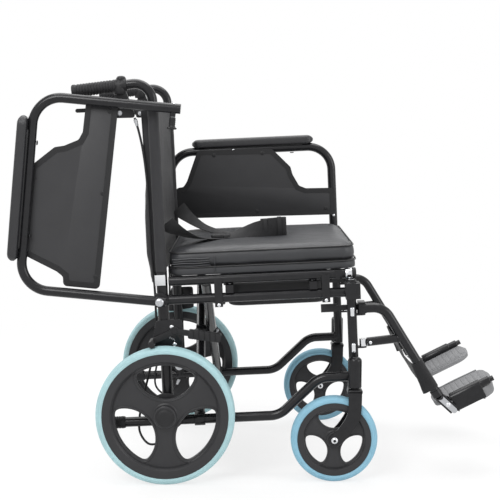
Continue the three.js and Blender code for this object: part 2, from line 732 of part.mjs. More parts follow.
// The clamp round the handle: a domed knob on top and a forked bracket that hangs down to the lever.
function brakeClamp() {
  const from = alongHandle(BRAKE_RING_BACK - BRAKE_RING_LENGTH / 2);
  const to = alongHandle(BRAKE_RING_BACK + BRAKE_RING_LENGTH / 2);
  const ring = rod(from, to, BRAKE_RING_RADIUS);
  const knob = aim(
    turned([
      [0, 0],
      [BRAKE_KNOB_RADIUS, 0],
      [BRAKE_KNOB_RADIUS, BRAKE_KNOB_HEIGHT / 2],
      [BRAKE_KNOB_RADIUS * 3 / 4, (BRAKE_KNOB_HEIGHT * 7) / 8],
      [BRAKE_KNOB_RADIUS / 3, BRAKE_KNOB_HEIGHT],
      [0, BRAKE_KNOB_HEIGHT],
    ], TUBE_SIDES),
    [BRAKE_RING[0], SIDE_Y, BRAKE_RING[2] + TUBE_RADIUS],
    [BRAKE_RING[0], SIDE_Y, BRAKE_RING[2] + TUBE_RADIUS + BRAKE_KNOB_HEIGHT],
  );
  const halfWidth = BRAKE_BRACKET_WIDTH / 2;
  const hanger = slab(
    rounded([
      [BRAKE_RING[0] - BRAKE_KNOB_RADIUS / 2, BRAKE_RING[2]],
      [BRAKE_RING[0] + BRAKE_KNOB_RADIUS / 2, BRAKE_RING[2]],
      [CABLE_START[0], CABLE_START[2] + BRAKE_KNOB_RADIUS],
      [CABLE_START[0] - FIT, CABLE_START[2]],
      [BRAKE_PIVOT[0] - BRAKE_KNOB_RADIUS, BRAKE_PIVOT[2] - BRAKE_KNOB_RADIUS],
      [BRAKE_PIVOT[0] - BRAKE_KNOB_RADIUS, BRAKE_PIVOT[2] + BRAKE_KNOB_RADIUS],
    ], BRAKE_KNOB_RADIUS / 2, 2),
    SIDE_Y - halfWidth,
    SIDE_Y + halfWidth,
  );
  const slot = block(
    [
      BRAKE_PIVOT[0] - BRAKE_KNOB_RADIUS * 2,
      SIDE_Y - BRAKE_LEVER_THICKNESS / 2 - FIT,
      BRAKE_PIVOT[2] - BRAKE_KNOB_RADIUS * 2,
    ],
    [
      BRAKE_PIVOT[0] + BRAKE_EYE_RADIUS + BRAKE_SLOT_PLAY,
      SIDE_Y + BRAKE_LEVER_THICKNESS / 2 + FIT,
      BRAKE_PIVOT[2] + BRAKE_EYE_RADIUS + BRAKE_SLOT_PLAY,
    ],
  );
  const pin = rod(
    [BRAKE_PIVOT[0], SIDE_Y - halfWidth, BRAKE_PIVOT[2]],
    [BRAKE_PIVOT[0], SIDE_Y + halfWidth, BRAKE_PIVOT[2]],
    BRAKE_PIN_RADIUS,
    THIN_SIDES,
  );
  const bore = cutter(alongHandle(BRAKE_RING_BACK - BRAKE_RING_LENGTH), alongHandle(BRAKE_RING_BACK
    + BRAKE_RING_LENGTH), TUBE_RADIUS + FIT);
  const body = carve([carve([ring, knob, hanger], [slot]), pin], [bore]);
  const cableSeat = cutter(
    [CABLE_START[0] - BRAKE_SEAT_DEPTH, SIDE_Y, CABLE_START[2] + BRAKE_SEAT_DEPTH],
    [CABLE_START[0] + BRAKE_SEAT_DEPTH, SIDE_Y, CABLE_START[2] - BRAKE_SEAT_DEPTH],
    CABLE_RADIUS + FIT,
    THIN_SIDES,
  );
  return carve([body], [cableSeat]);
}

// A flat lever under the grip, with an eye on the clamp's pin.
function brakeLever() {
  const eye = rod(
    [BRAKE_PIVOT[0], SIDE_Y - BRAKE_LEVER_THICKNESS / 2, BRAKE_PIVOT[2]],
    [BRAKE_PIVOT[0], SIDE_Y + BRAKE_LEVER_THICKNESS / 2, BRAKE_PIVOT[2]],
    BRAKE_EYE_RADIUS,
  );
  const blade = slab(
    rounded([
      [BRAKE_PIVOT[0], BRAKE_PIVOT[2] - BRAKE_EYE_RADIUS],
      [BRAKE_PIVOT[0], BRAKE_PIVOT[2] + BRAKE_EYE_RADIUS],
      [BRAKE_PIVOT[0] - BRAKE_LEVER_LENGTH * BRAKE_LEVER_BEND_SHARE, BRAKE_PIVOT[2] + BRAKE_LEVER_RISE],
      [BRAKE_PIVOT[0] - BRAKE_LEVER_LENGTH, BRAKE_PIVOT[2] + BRAKE_LEVER_RISE],
      [BRAKE_PIVOT[0] - BRAKE_LEVER_LENGTH, BRAKE_PIVOT[2] + BRAKE_LEVER_RISE - BRAKE_LEVER_DEPTH],
      [
        BRAKE_PIVOT[0] - BRAKE_LEVER_LENGTH * BRAKE_LEVER_BEND_SHARE,
        BRAKE_PIVOT[2] + BRAKE_LEVER_RISE - BRAKE_LEVER_DEPTH,
      ],
    ], BRAKE_LEVER_DEPTH / 2, 3),
    SIDE_Y - BRAKE_LEVER_THICKNESS / 2,
    SIDE_Y + BRAKE_LEVER_THICKNESS / 2,
  );
  const hole = cutter(
    [BRAKE_PIVOT[0], SIDE_Y - BRAKE_BRACKET_WIDTH, BRAKE_PIVOT[2]],
    [BRAKE_PIVOT[0], SIDE_Y + BRAKE_BRACKET_WIDTH, BRAKE_PIVOT[2]],
    BRAKE_PIN_RADIUS + FIT,
    THIN_SIDES,
  );
  return carve([eye, blade], [hole]);
}

function brakeCable() {
  const drumEntry = [-CABLE_RADIUS * 2, SIDE_Y + AXLE_BOSS_LENGTH / 2 + DRUM_LENGTH / 2,
    -DRUM_RADIUS - FIT * 3];
  const points = [CABLE_START, ...CABLE_ROUTE, drumEntry].map(([x, y, z]) => new THREE.Vector3(x, y, z));
  const path = new THREE.CatmullRomCurve3(points, false, 'centripetal');
  const shape = roundShape(CABLE_RADIUS, CABLE_SIDES);
  return carve([new THREE.ExtrudeGeometry(shape, { steps: CABLE_RINGS, extrudePath: path })]);
}

// The axle bolt with its inner head and the brake drum that the hub covers.
function rearAxle() {
  const inner = -WHEEL_OFFSET - AXLE_BOSS_LENGTH / 2;
  const drumFace = -WHEEL_OFFSET + AXLE_BOSS_LENGTH / 2 + FIT;
  const profile = [
    [0, inner - AXLE_HEAD_LENGTH - FIT],
    [AXLE_HEAD_RADIUS, inner - AXLE_HEAD_LENGTH - FIT],
    [AXLE_HEAD_RADIUS, inner - FIT],
    [AXLE_RADIUS, inner - FIT],
    [AXLE_RADIUS, drumFace],
    [DRUM_RADIUS, drumFace],
    [DRUM_RADIUS, drumFace + DRUM_LENGTH],
    [AXLE_RADIUS, drumFace + DRUM_LENGTH],
    [AXLE_RADIUS, REAR_HUB_LENGTH / 2 - AXLE_RADIUS - FIT],
    [0, REAR_HUB_LENGTH / 2 - AXLE_RADIUS - FIT],
  ];
  return carve([turned(profile, TUBE_SIDES * 2)]);
}

// The radius of a many-sided wheel's corners when its flats lie at the given radius.
function cornerRadius(radius, sides) {
  return radius / Math.cos(Math.PI / sides);
}

function wheelTurned(profile, sides) {
  const points = profile.map(([r, place]) => new THREE.Vector2(cornerRadius(r, sides), place));
  return new THREE.LatheGeometry(points, sides, Math.PI / sides);
}

// A moulded wheel: hub, web with three round-cornered openings, and a stepped rim.
function mouldedRim(size) {
  const half = size.rimWidth / 2;
  const inner = size.rimRadius - size.rimDepth;
  const hub = size.hubLength / 2;
  const bore = size.axle + FIT;
  const profile = [
    [size.blind ? 0 : bore, hub + (size.blind ? -size.axle : 0)],
    [bore, hub + (size.blind ? -size.axle : 0)],
    [bore, -hub],
    [size.hubRadius, -hub],
    [size.hubRadius, -size.webHalf],
    [inner, -size.webHalf],
    [inner, -half + size.bevel],
    [inner + size.bevel, -half],
    [size.rimRadius, -half],
    [size.rimRadius, half],
    [inner + size.bevel, half],
    [inner, half - size.bevel],
    [inner, size.webHalf],
    [size.hubRadius, size.webHalf],
    [size.hubRadius, hub],
  ];
  if (size.blind) profile.push([size.capRadius, hub + size.capLength], [0, hub + size.capLength]);
  else profile.push([bore, hub]);
  const cuts = [0, 1, 2].map((third) => {
    const angle = Math.PI / 2 + (third * 2 * Math.PI) / 3;
    const place = [size.openingOffset * Math.cos(angle), size.openingOffset * Math.sin(angle)];
    const deep = size.webHalf + OVERRUN;
    const round = rod([place[0], -deep, place[1]], [place[0], deep, place[1]], size.openingRadius,
      size.segments / 2);
    const limit = rod([0, -deep - OVERRUN, 0], [0, deep + OVERRUN, 0], inner - size.lip, size.segments);
    return common(round, limit);
  });
  return carve([wheelTurned(profile, size.segments)], cuts);
}

// A tyre with a crowned tread, seated on its rim.
function tyre(radius, width, shoulder, seat, segments) {
  const half = width / 2;
  const profile = [
    [seat + FIT, -half + shoulder / 3],
    [radius - shoulder, -half],
    [radius - shoulder / 4, -half + shoulder / 2],
    [radius, -half + shoulder],
    [radius, half - shoulder],
    [radius - shoulder / 4, half - shoulder / 2],
    [radius - shoulder, half],
    [seat + FIT, half - shoulder / 3],
    [seat + FIT, -half + shoulder / 3],
  ];
  return carve([wheelTurned(profile, segments)]);
}

function rearRim() {
  return mouldedRim({
    rimWidth: REAR_RIM_WIDTH, rimRadius: REAR_RIM_RADIUS, rimDepth: REAR_RIM_DEPTH, bevel: REAR_BEVEL,
    hubLength: REAR_HUB_LENGTH, hubRadius: REAR_HUB_RADIUS, webHalf: REAR_WEB_HALF, axle: AXLE_RADIUS,
    openingRadius: REAR_OPENING_RADIUS, openingOffset: REAR_OPENING_OFFSET, lip: REAR_SPOKE_LIP,
    segments: REAR_SEGMENTS, blind: true, capRadius: REAR_CAP_RADIUS, capLength: REAR_CAP_LENGTH,
  });
}

function casterRim() {
  return mouldedRim({
    rimWidth: CASTER_RIM_WIDTH, rimRadius: CASTER_RIM_RADIUS, rimDepth: CASTER_RIM_DEPTH,
    bevel: CASTER_BEVEL, hubLength: CASTER_HUB_LENGTH, hubRadius: CASTER_HUB_RADIUS,
    webHalf: CASTER_WEB_HALF, axle: CASTER_AXLE_RADIUS, openingRadius: CASTER_OPENING_RADIUS,
    openingOffset: CASTER_OPENING_OFFSET, lip: CASTER_SPOKE_LIP, segments: CASTER_SEGMENTS, blind: false,
  });
}

// The four corners of a straight strip between two points of length and height.
function strip([x1, z1], [x2, z2], half) {
  const length = Math.hypot(x2 - x1, z2 - z1);
  const [across, up] = [(-(z2 - z1) * half) / length, ((x2 - x1) * half) / length];
  return [[x1 - across, z1 - up], [x2 - across, z2 - up], [x2 + across, z2 + up], [x1 + across, z1 + up]];
}

const CROWN_DROP = CROWN_TOP - CASTER_RADIUS;   // the crown's top above the caster's axle
const BLADE_FACE = CASTER_HUB_LENGTH / 2 + FIT * 2;

// A fork about its stem's axis, with the caster's axle at height zero and behind the stem.
function casterFork() {
  const stemTop = STEM_HOUSING_TOP - STEM_HOUSING_WALL - FIT - CASTER_RADIUS;
  const knee = [0, BLADE_KNEE - CASTER_RADIUS];
  const outer = BLADE_FACE + BLADE_THICKNESS;
  const parts = [
    block(
      [-CROWN_HALF_LENGTH, -outer, CROWN_DROP - CROWN_HEIGHT],
      [CROWN_HALF_LENGTH, outer, CROWN_DROP],
    ),
    rod([0, 0, CROWN_DROP - CROWN_HEIGHT], [0, 0, stemTop], STEM_RADIUS),
    rod([0, 0, CROWN_DROP - CROWN_HEIGHT / 2], [0, 0, CROWN_DROP + CROWN_GAP - FIT], RACE_RADIUS),
  ];
  for (const way of [-1, 1]) {
    const [low, high] = way > 0 ? [BLADE_FACE, outer] : [-outer, -BLADE_FACE];
    parts.push(slab(strip([0, CROWN_DROP - CROWN_HEIGHT / 2], knee, BLADE_HALF_WIDTH), low, high));
    parts.push(slab(strip(knee, [-CASTER_TRAIL, 0], BLADE_HALF_WIDTH), low, high));
    parts.push(rod([0, low, knee[1]], [0, high, knee[1]], BLADE_HALF_WIDTH));
    parts.push(rod([-CASTER_TRAIL, low, 0], [-CASTER_TRAIL, high, 0], BLADE_EYE_RADIUS));
  }
  const bore = cutter([-CASTER_TRAIL, -outer - OVERRUN, 0], [-CASTER_TRAIL, outer + OVERRUN, 0],
    CASTER_AXLE_RADIUS + FIT);
  return carve(parts, [bore]);
}

function casterAxle() {
  const outer = BLADE_FACE + BLADE_THICKNESS + FIT;
  return carve([
    rod([0, -outer - CASTER_NUT_LENGTH, 0], [0, outer + CASTER_NUT_LENGTH, 0], CASTER_AXLE_RADIUS),
    rod([0, outer, 0], [0, outer + CASTER_NUT_LENGTH, 0], CASTER_NUT_RADIUS, THIN_SIDES),
    rod([0, -outer - CASTER_NUT_LENGTH, 0], [0, -outer, 0], CASTER_NUT_RADIUS, THIN_SIDES),
  ]);
}

const PLUNGER_HEIGHT = PLUNGER_RISE - ARM_TIP;

// The armrest's tube, from its hinge at the rear upright to its tip in the catch.
function armTube() {
  const tube = pipe([[0, 0, -ARM_HEEL], [0, 0, ARM_TOP], [ARM_FRONT, 0, ARM_TOP], [ARM_FRONT, 0, -ARM_TIP]],
    TUBE_RADIUS, ARM_BEND_RADIUS);
  const stub = rod(
    [ARM_FRONT - TUBE_RADIUS - PLUNGER_STUB_LENGTH, 0, PLUNGER_HEIGHT],
    [ARM_FRONT, 0, PLUNGER_HEIGHT],
    PLUNGER_STUB_RADIUS,
    THIN_SIDES,
  );
  const hinge = cutter([0, -TUBE_RADIUS - OVERRUN, 0], [0, TUBE_RADIUS + OVERRUN, 0], ARM_PIN_RADIUS + FIT);
  const across = cutter(
    [ARM_FRONT - TUBE_RADIUS - PLUNGER_STUB_LENGTH - OVERRUN, 0, PLUNGER_HEIGHT],
    [ARM_FRONT + TUBE_RADIUS + OVERRUN, 0, PLUNGER_HEIGHT],
    PLUNGER_RADIUS + FIT,
    THIN_SIDES,
  );
  return carve([tube, stub], [hinge, across]);
}

function armPad() {
  const half = PAD_WIDTH / 2 - PAD_ROUND;
  const corners = [
    [PAD_REAR + PAD_ROUND, -half], [PAD_REAR + PAD_LENGTH - PAD_ROUND, -half],
    [PAD_REAR + PAD_LENGTH - PAD_ROUND, half], [PAD_REAR + PAD_ROUND, half],
  ];
  const ring = rounded(corners, PAD_CORNER - PAD_ROUND);
  const plan = new THREE.Shape(ring.map(([x, y]) => new THREE.Vector2(x, y)));
  const pad = new THREE.ExtrudeGeometry(plan, {
    depth: PAD_HEIGHT - PAD_ROUND * 2, bevelSize: PAD_ROUND, bevelThickness: PAD_ROUND, bevelSegments: 2,
  }).translate(0, PAD_SHIFT, ARM_TOP + TUBE_RADIUS - PAD_SINK + PAD_ROUND);
  const groove = cutter([PAD_REAR - OVERRUN, 0, ARM_TOP], [PAD_REAR + PAD_LENGTH + OVERRUN, 0, ARM_TOP],
    TUBE_RADIUS + FIT);
  return carve([pad], [groove]);
}

// The skirt guard on the inner face of the arm tube.
function armPanel() {
  const outline = PANEL_OUTLINE_SHARES.map(([along, up]) => [
    PANEL_REAR + along * PANEL_LENGTH, PANEL_LOW + up * PANEL_HEIGHT,
  ]);
  const face = -TUBE_RADIUS - FIT;
  return carve([slab(rounded(outline, PANEL_CORNER, 3), face - PANEL_THICKNESS, face)]);
}

// The sprung pin whose nose holds the front leg in its catch.
function armPlunger() {
  const rear = -TUBE_RADIUS - PLUNGER_STUB_LENGTH - FIT;
  const nose = TUBE_RADIUS + PLUNGER_NOSE;
  const knobEnd = rear - PLUNGER_KNOB_LENGTH;
  const pin = aim(
    turned([
      [0, 0],
      [PLUNGER_FLANGE_RADIUS, 0],
      [PLUNGER_FLANGE_RADIUS, PLUNGER_FLANGE_LENGTH],
      [PLUNGER_KNOB_RADIUS, PLUNGER_FLANGE_LENGTH * 2],
      [PLUNGER_KNOB_RADIUS, rear - knobEnd],
      [PLUNGER_RADIUS, rear - knobEnd],
      [PLUNGER_RADIUS, nose - knobEnd - PLUNGER_RADIUS],
      [PLUNGER_RADIUS / 2, nose - knobEnd],
      [0, nose - knobEnd],
    ], TUBE_SIDES),
    [knobEnd, 0, 0],
    [nose, 0, 0],
  );
  return carve([pin]);
}

const LOCK_FACE = UPRIGHT_RADIUS + FIT;     // outside the frame tubes' axis
const LOCK_ARM_FACE = LOCK_FACE + LOCK_PLATE_THICKNESS + FIT;

// The lock's plate on the upright, in lengths from the frame tubes' plane.
function wheelLockBracket() {
  const plate = slab(
    rounded([
      [-LOCK_PLATE_REAR, LOCK_PLATE_LOW], [LOCK_PLATE_FRONT, LOCK_PLATE_LOW + LOCK_SHOE_RADIUS],
      [LOCK_PLATE_FRONT, LOCK_PLATE_HIGH], [-LOCK_PLATE_REAR / 2, LOCK_PLATE_HIGH],
    ], LOCK_SHOE_RADIUS, 3),
    LOCK_FACE,
    LOCK_FACE + LOCK_PLATE_THICKNESS,
  );
  const pinEnd = LOCK_ARM_FACE + LOCK_ARM_THICKNESS + FIT;
  const place = [LOCK_PIVOT_PLACE, LOCK_PIVOT_HEIGHT];
  return carve([
    plate,
    rod([place[0], LOCK_FACE, place[1]], [place[0], pinEnd + LOCK_PIN_HEAD_LENGTH, place[1]],
      LOCK_PIN_RADIUS),
    rod([place[0], pinEnd, place[1]], [place[0], pinEnd + LOCK_PIN_HEAD_LENGTH, place[1]], LOCK_PIN_HEAD),
  ]);
}

// The lock's lever about its own pivot: a ribbed hand grip in front and a shoe over the tyre behind.
function wheelLockLever() {
  const shoeTop = Math.sqrt(REAR_RADIUS ** 2 - LOCK_SHOE_PLACE ** 2);
  const shoe = [
    -LOCK_PIVOT_PLACE - LOCK_SHOE_PLACE,
    shoeTop + LOCK_SHOE_RADIUS + FIT * 3 - LOCK_PIVOT_HEIGHT,
  ];
  const hand = [LOCK_LEVER_REACH, -LOCK_LEVER_FALL];
  const gripStart = hand.map((v) => v * LOCK_GRIP_START_SHARE);
  const low = LOCK_ARM_FACE;
  const high = LOCK_ARM_FACE + LOCK_ARM_THICKNESS;
  const grooves = [];
  const top = low + LOCK_GRIP_THICKNESS;
  for (let i = 1; i < LOCK_GRIP_RIBS; i += 1) {
    const share = LOCK_GRIP_START_SHARE + ((1 - LOCK_GRIP_START_SHARE) * i) / LOCK_GRIP_RIBS;
    const place = hand.map((v) => v * share);
    grooves.push(block(
      [place[0] - LOCK_RIB_DEPTH / 2, top - LOCK_RIB_DEPTH, place[1] - LOCK_GRIP_HALF_WIDTH * 2],
      [place[0] + LOCK_RIB_DEPTH / 2, top + OVERRUN, place[1] + LOCK_GRIP_HALF_WIDTH * 2],
    ));
  }
  return carve([
    slab(strip(shoe, [0, 0], LOCK_ARM_HALF_WIDTH), low, high),
    slab(strip([0, 0], hand, LOCK_ARM_HALF_WIDTH), low, high),
    rod([0, low, 0], [0, high, 0], LOCK_ARM_HALF_WIDTH + LOCK_PIN_RADIUS),
    slab(rounded(strip(gripStart, hand, LOCK_GRIP_HALF_WIDTH), LOCK_GRIP_HALF_WIDTH / 2, 3), low, top),
    rod([shoe[0], low, shoe[1]], [shoe[0], low + LOCK_SHOE_LENGTH, shoe[1]], LOCK_SHOE_RADIUS),
  ], [
    cutter([0, low - OVERRUN, 0], [0, high + OVERRUN, 0], LOCK_PIN_RADIUS + FIT),
    cutter([0, high, 0], [0, top + OVERRUN, 0], LOCK_PIN_HEAD + FIT * 2),
    ...grooves,
  ]);
}

// What the side frame carries: saddles for the seat rail, the armrest's hinge pin and catch, and the
// legrest's hinge lugs.
const HINGE_PLACE = POST_PLACE + TUBE_RADIUS * 2 + HINGE_GAP;
const ARM_Y = SIDE_Y + ARM_OFFSET;
const SEAT_BORE = TUBE_RADIUS + FIT;

function sideFrameWithFittings() {
  const parts = [sideFrame()];
  const cuts = [];
  const saddleHalf = SEAT_BORE + SADDLE_WALL;
  for (const place of SADDLE_PLACES) {
    parts.push(block(
      [place - SADDLE_LENGTH / 2, SIDE_Y - saddleHalf, LOWER_RAIL_HEIGHT - TUBE_RADIUS - SADDLE_DROP],
      [place + SADDLE_LENGTH / 2, SIDE_Y + saddleHalf, SEAT_RAIL_HEIGHT + SADDLE_LIP],
    ));
    const from = place - SADDLE_LENGTH;
    const to = place + SADDLE_LENGTH;
    cuts.push(cutter([from, SIDE_Y, SEAT_RAIL_HEIGHT], [to, SIDE_Y, SEAT_RAIL_HEIGHT], SEAT_BORE));
    cuts.push(block(
      [from, SIDE_Y - SEAT_BORE, SEAT_RAIL_HEIGHT],
      [to, SIDE_Y + SEAT_BORE, SEAT_RAIL_HEIGHT + SEAT_BORE],
    ));
  }
  const armInner = ARM_Y - TUBE_RADIUS - FIT;
  const armOuter = ARM_Y + TUBE_RADIUS + FIT;
  parts.push(rod([0, SIDE_Y, ARM_PIVOT_HEIGHT], [0, armInner, ARM_PIVOT_HEIGHT], ARM_DISC_RADIUS));
  parts.push(rod([0, SIDE_Y, ARM_PIVOT_HEIGHT], [0, armOuter + ARM_PIN_HEAD_LENGTH, ARM_PIVOT_HEIGHT],
    ARM_PIN_RADIUS));
  parts.push(rod([0, armOuter, ARM_PIVOT_HEIGHT], [0, armOuter + ARM_PIN_HEAD_LENGTH, ARM_PIVOT_HEIGHT],
    ARM_PIN_HEAD));
  const tip = ARM_PIVOT_HEIGHT - ARM_TIP;
  const catchHalf = TUBE_RADIUS + CATCH_PLAY + CATCH_WALL;
  const catchFloor = tip - FIT - CATCH_FLOOR;
  parts.push(block(
    [ARM_FRONT - catchHalf, ARM_Y - catchHalf, catchFloor],
    [ARM_FRONT + catchHalf, ARM_Y + catchHalf, catchFloor + CATCH_HEIGHT],
  ));
  parts.push(block(
    [ARM_FRONT - TUBE_RADIUS, SIDE_Y, catchFloor],
    [ARM_FRONT + TUBE_RADIUS, ARM_Y - catchHalf + CATCH_WALL / 2, POST_TOP - OVERRUN],
  ));
  cuts.push(cutter(
    [ARM_FRONT, ARM_Y, tip - FIT],
    [ARM_FRONT, ARM_Y, catchFloor + CATCH_HEIGHT + OVERRUN],
    TUBE_RADIUS + CATCH_PLAY,
  ));
  cuts.push(block(
    [ARM_FRONT - catchHalf - OVERRUN, ARM_Y - PLUNGER_STUB_RADIUS - CATCH_PLAY, tip + PLUNGER_RISE
      - PLUNGER_STUB_RADIUS - CATCH_PLAY],
    [ARM_FRONT + catchHalf + OVERRUN, ARM_Y + PLUNGER_STUB_RADIUS + CATCH_PLAY, catchFloor + CATCH_HEIGHT
      + OVERRUN],
  ));
  for (const [under, over] of [
    [HANGER_HEIGHT - TUBE_RADIUS - FIT, HANGER_HEIGHT + TUBE_RADIUS - FIT * 4],
    [STRUT_HEIGHT - STRUT_EYE_LENGTH / 2 - FIT, STRUT_HEIGHT + STRUT_EYE_LENGTH / 2],
  ]) {
    parts.push(block(
      [POST_PLACE, SIDE_Y - HINGE_LUG_HALF_WIDTH, under - HINGE_LUG_THICKNESS],
      [HINGE_PLACE, SIDE_Y + HINGE_LUG_HALF_WIDTH, under],
    ));
    parts.push(rod([HINGE_PLACE, SIDE_Y, under - HINGE_LUG_THICKNESS], [HINGE_PLACE, SIDE_Y, under],
      HINGE_LUG_HALF_WIDTH));
    parts.push(rod([HINGE_PLACE, SIDE_Y, under - HINGE_LUG_THICKNESS], [HINGE_PLACE, SIDE_Y, over],
      HINGE_PIN_RADIUS));
    parts.push(block(
      [POST_PLACE - FASTENER_HALF_WIDTH, SIDE_Y, under - HINGE_LUG_THICKNESS - FASTENER_HEIGHT / 2],
      [POST_PLACE + FASTENER_HALF_WIDTH, SIDE_Y + TUBE_RADIUS + FASTENER_THICKNESS, under
        - HINGE_LUG_THICKNESS + FASTENER_HEIGHT / 2],
    ));
  }
  return carve(parts, cuts);
}

// The plug in the post's top with its bright cap.
function postPlug() {
  const seat = POST_TOP + FIT;
  return carve([
    rod([POST_PLACE, SIDE_Y, seat], [POST_PLACE, SIDE_Y, seat + PLUG_HEIGHT], POST_SOCKET_RADIUS),
    rod([POST_PLACE, SIDE_Y, seat + PLUG_HEIGHT / 2],
      [POST_PLACE, SIDE_Y, seat + PLUG_HEIGHT + PLUG_CAP_HEIGHT], TUBE_RADIUS - PLUG_CAP_HEIGHT),
  ]);
}

// One half of the cross brace: a sleeve on one bottom tube, a tube across to the seat rail on the other
// side, and that rail. The way is +1 where the rail is on the left.
function brace(place, way, gapSide) {
  const foot = [place, -way * SIDE_Y, -BOTTOM_TUBE_DROP];
  const head = [place, way * SIDE_Y, SEAT_RAIL_HEIGHT];
  const middle = [place, 0, (SEAT_RAIL_HEIGHT - BOTTOM_TUBE_DROP) / 2];
  const sleeve = TUBE_RADIUS + FIT + BRACE_SLEEVE_WALL;
  const eyeEnd = BRACE_STEP / 2 - FIT / 2;
  const eye = gapSide > 0 ? [place - TUBE_RADIUS, place + eyeEnd] : [place - eyeEnd, place + TUBE_RADIUS];
  const stopHalf = TUBE_RADIUS + RAIL_STOP_WALL;
  return carve([
    rod(foot, head, TUBE_RADIUS),
    rod([place - BRACE_SLEEVE_LENGTH / 2, foot[1], foot[2]],
      [place + BRACE_SLEEVE_LENGTH / 2, foot[1], foot[2]], sleeve),
    rod([eye[0], 0, middle[2]], [eye[1], 0, middle[2]], BRACE_EYE_RADIUS),
    rod([SEAT_RAIL_REAR, head[1], head[2]], [SEAT_RAIL_FRONT, head[1], head[2]], TUBE_RADIUS),
    rod([SEAT_RAIL_FRONT - OVERRUN, head[1], head[2]], [SEAT_RAIL_FRONT + RAIL_END_LENGTH, head[1], head[2]],
      RAIL_END_RADIUS),
    block(
      [RAIL_STOP_PLACE - RAIL_STOP_HALF, head[1] - stopHalf, head[2] - TUBE_RADIUS - RAIL_STOP_WALL],
      [RAIL_STOP_PLACE + RAIL_STOP_HALF, head[1] + stopHalf, head[2] + RAIL_STOP_TOP],
    ),
  ], [
    cutter([place - BRACE_SLEEVE_LENGTH, foot[1], foot[2]], [place + BRACE_SLEEVE_LENGTH, foot[1], foot[2]],
      TUBE_RADIUS + FIT),
    cutter([eye[0] - OVERRUN, 0, middle[2]], [eye[1] + OVERRUN, 0, middle[2]], BRACE_BOLT_RADIUS + FIT),
  ]);
}

function bracePivot() {
  const height = (SEAT_RAIL_HEIGHT - BOTTOM_TUBE_DROP) / 2;
  const start = BRACE_A_PLACE - TUBE_RADIUS - FIT;
  const end = BRACE_A_PLACE + BRACE_STEP + TUBE_RADIUS + FIT;
  return carve([
    rod([start - BRACE_BOLT_HEAD_LENGTH, 0, height], [end + BRACE_BOLT_HEAD_LENGTH, 0, height],
      BRACE_BOLT_RADIUS),
    rod([start - BRACE_BOLT_HEAD_LENGTH, 0, height], [start, 0, height], BRACE_BOLT_HEAD),
    rod([end, 0, height], [end + BRACE_BOLT_HEAD_LENGTH, 0, height], BRACE_BOLT_HEAD),
  ]);
}

// The points of a rounded rectangle, the same count for any size, anticlockwise from above.
function roundedRing(centre, halfLength, halfWidth, corner, perCorner) {
  const ring = [];
  const radius = Math.min(corner, halfLength, halfWidth);
  [[1, -1], [1, 1], [-1, 1], [-1, -1]].forEach(([sx, sy], quarter) => {
    for (let i = 0; i < perCorner; i += 1) {
      const angle = (Math.PI / 2) * (quarter - 1 + i / (perCorner - 1));
      ring.push([
        centre[0] + sx * (halfLength - radius) + radius * Math.cos(angle),
        centre[1] + sy * (halfWidth - radius) + radius * Math.sin(angle),
      ]);
    }
  });
  return ring;
}

// A closed skin through rings of the same count, from a first point to a last one.
function skin(rings, first, last) {
  const count = rings[0].length;
  const positions = [...rings.flat(2), ...first, ...last];
  const index = [];
  rings.slice(1).forEach((_, level) => {
    for (let i = 0; i < count; i += 1) {
      const [a, b] = [level * count + i, level * count + ((i + 1) % count)];
      index.push(a, b, a + count, b, b + count, a + count);
    }
  });
  const [start, end] = [rings.length * count, rings.length * count + 1];
  const top = (rings.length - 1) * count;
  for (let i = 0; i < count; i += 1) {
    index.push(start, (i + 1) % count, i, end, top + i, top + ((i + 1) % count));
  }
  const geometry = new THREE.BufferGeometry();
  geometry.setAttribute('position', new THREE.Float32BufferAttribute(positions, 3));
  geometry.setIndex(index);
  return geometry;
}

// A form of rounded-rectangle levels, each with its inset and height.
function levels(centre, halfLength, halfWidth, corner, perCorner, steps) {
  const rings = steps.map(([inset, height]) => roundedRing(
    centre, halfLength - inset, halfWidth - inset, Math.max(corner - inset, FIT), perCorner,
  ).map(([x, y]) => [x, y, height]));
  return skin(rings, [...centre, steps[0][1]], [...centre, steps[steps.length - 1][1]]);
}

// The cushion: a flat board below, a seam round its side and a crowned top.
function seatCushion() {
  const base = SEAT_RAIL_HEIGHT + RAIL_END_RADIUS + TOUCH;
  const seam = base + CUSHION_BASE;
  const edge = seam + CUSHION_EDGE;
  const s = CUSHION_SHOULDER;
  return carve([levels(
    [CUSHION_REAR + CUSHION_LENGTH / 2, 0], CUSHION_LENGTH / 2, CUSHION_HALF_WIDTH, CUSHION_CORNER,
    CUSHION_AROUND,
    [
      [s / 4, base], [s / 8, base + s / 8], [s / 8, seam - CUSHION_SEAM * 2],
      [CUSHION_SEAM, seam - CUSHION_SEAM],
      [0, seam], [CUSHION_SEAM, seam + CUSHION_SEAM], [s / 8, (seam + edge) / 2], [s / 4, edge - s / 3],
      [s / 2, edge], [s * 2, edge + CUSHION_CROWN / 3], [s * 5, edge + (CUSHION_CROWN * 3) / 4],
      [s * 9, edge + CUSHION_CROWN],
    ],
  )]);
}

// The pan: drafted walls, a flange round its rim, and open at the top.
function commodePan() {
  const rim = PAN_RIM_HEIGHT;
  const low = rim - PAN_DEPTH;
  const f = PAN_FLANGE;
  return carve([levels(
    [PAN_REAR + PAN_LENGTH / 2, 0], PAN_LENGTH / 2, PAN_HALF_WIDTH + f, PAN_CORNER, PAN_AROUND,
    [
      [f + PAN_DRAFT * 2, low], [f + PAN_DRAFT, low + PAN_DRAFT / 2], [f, rim - PAN_FLANGE_THICKNESS],
      [0, rim - PAN_FLANGE_THICKNESS], [0, rim], [f + PAN_WALL, rim],
      [f + PAN_WALL + PAN_DRAFT, low + PAN_DRAFT / 2 + PAN_WALL],
      [f + PAN_WALL + PAN_DRAFT * 2, low + PAN_WALL],
    ],
  )]);
}

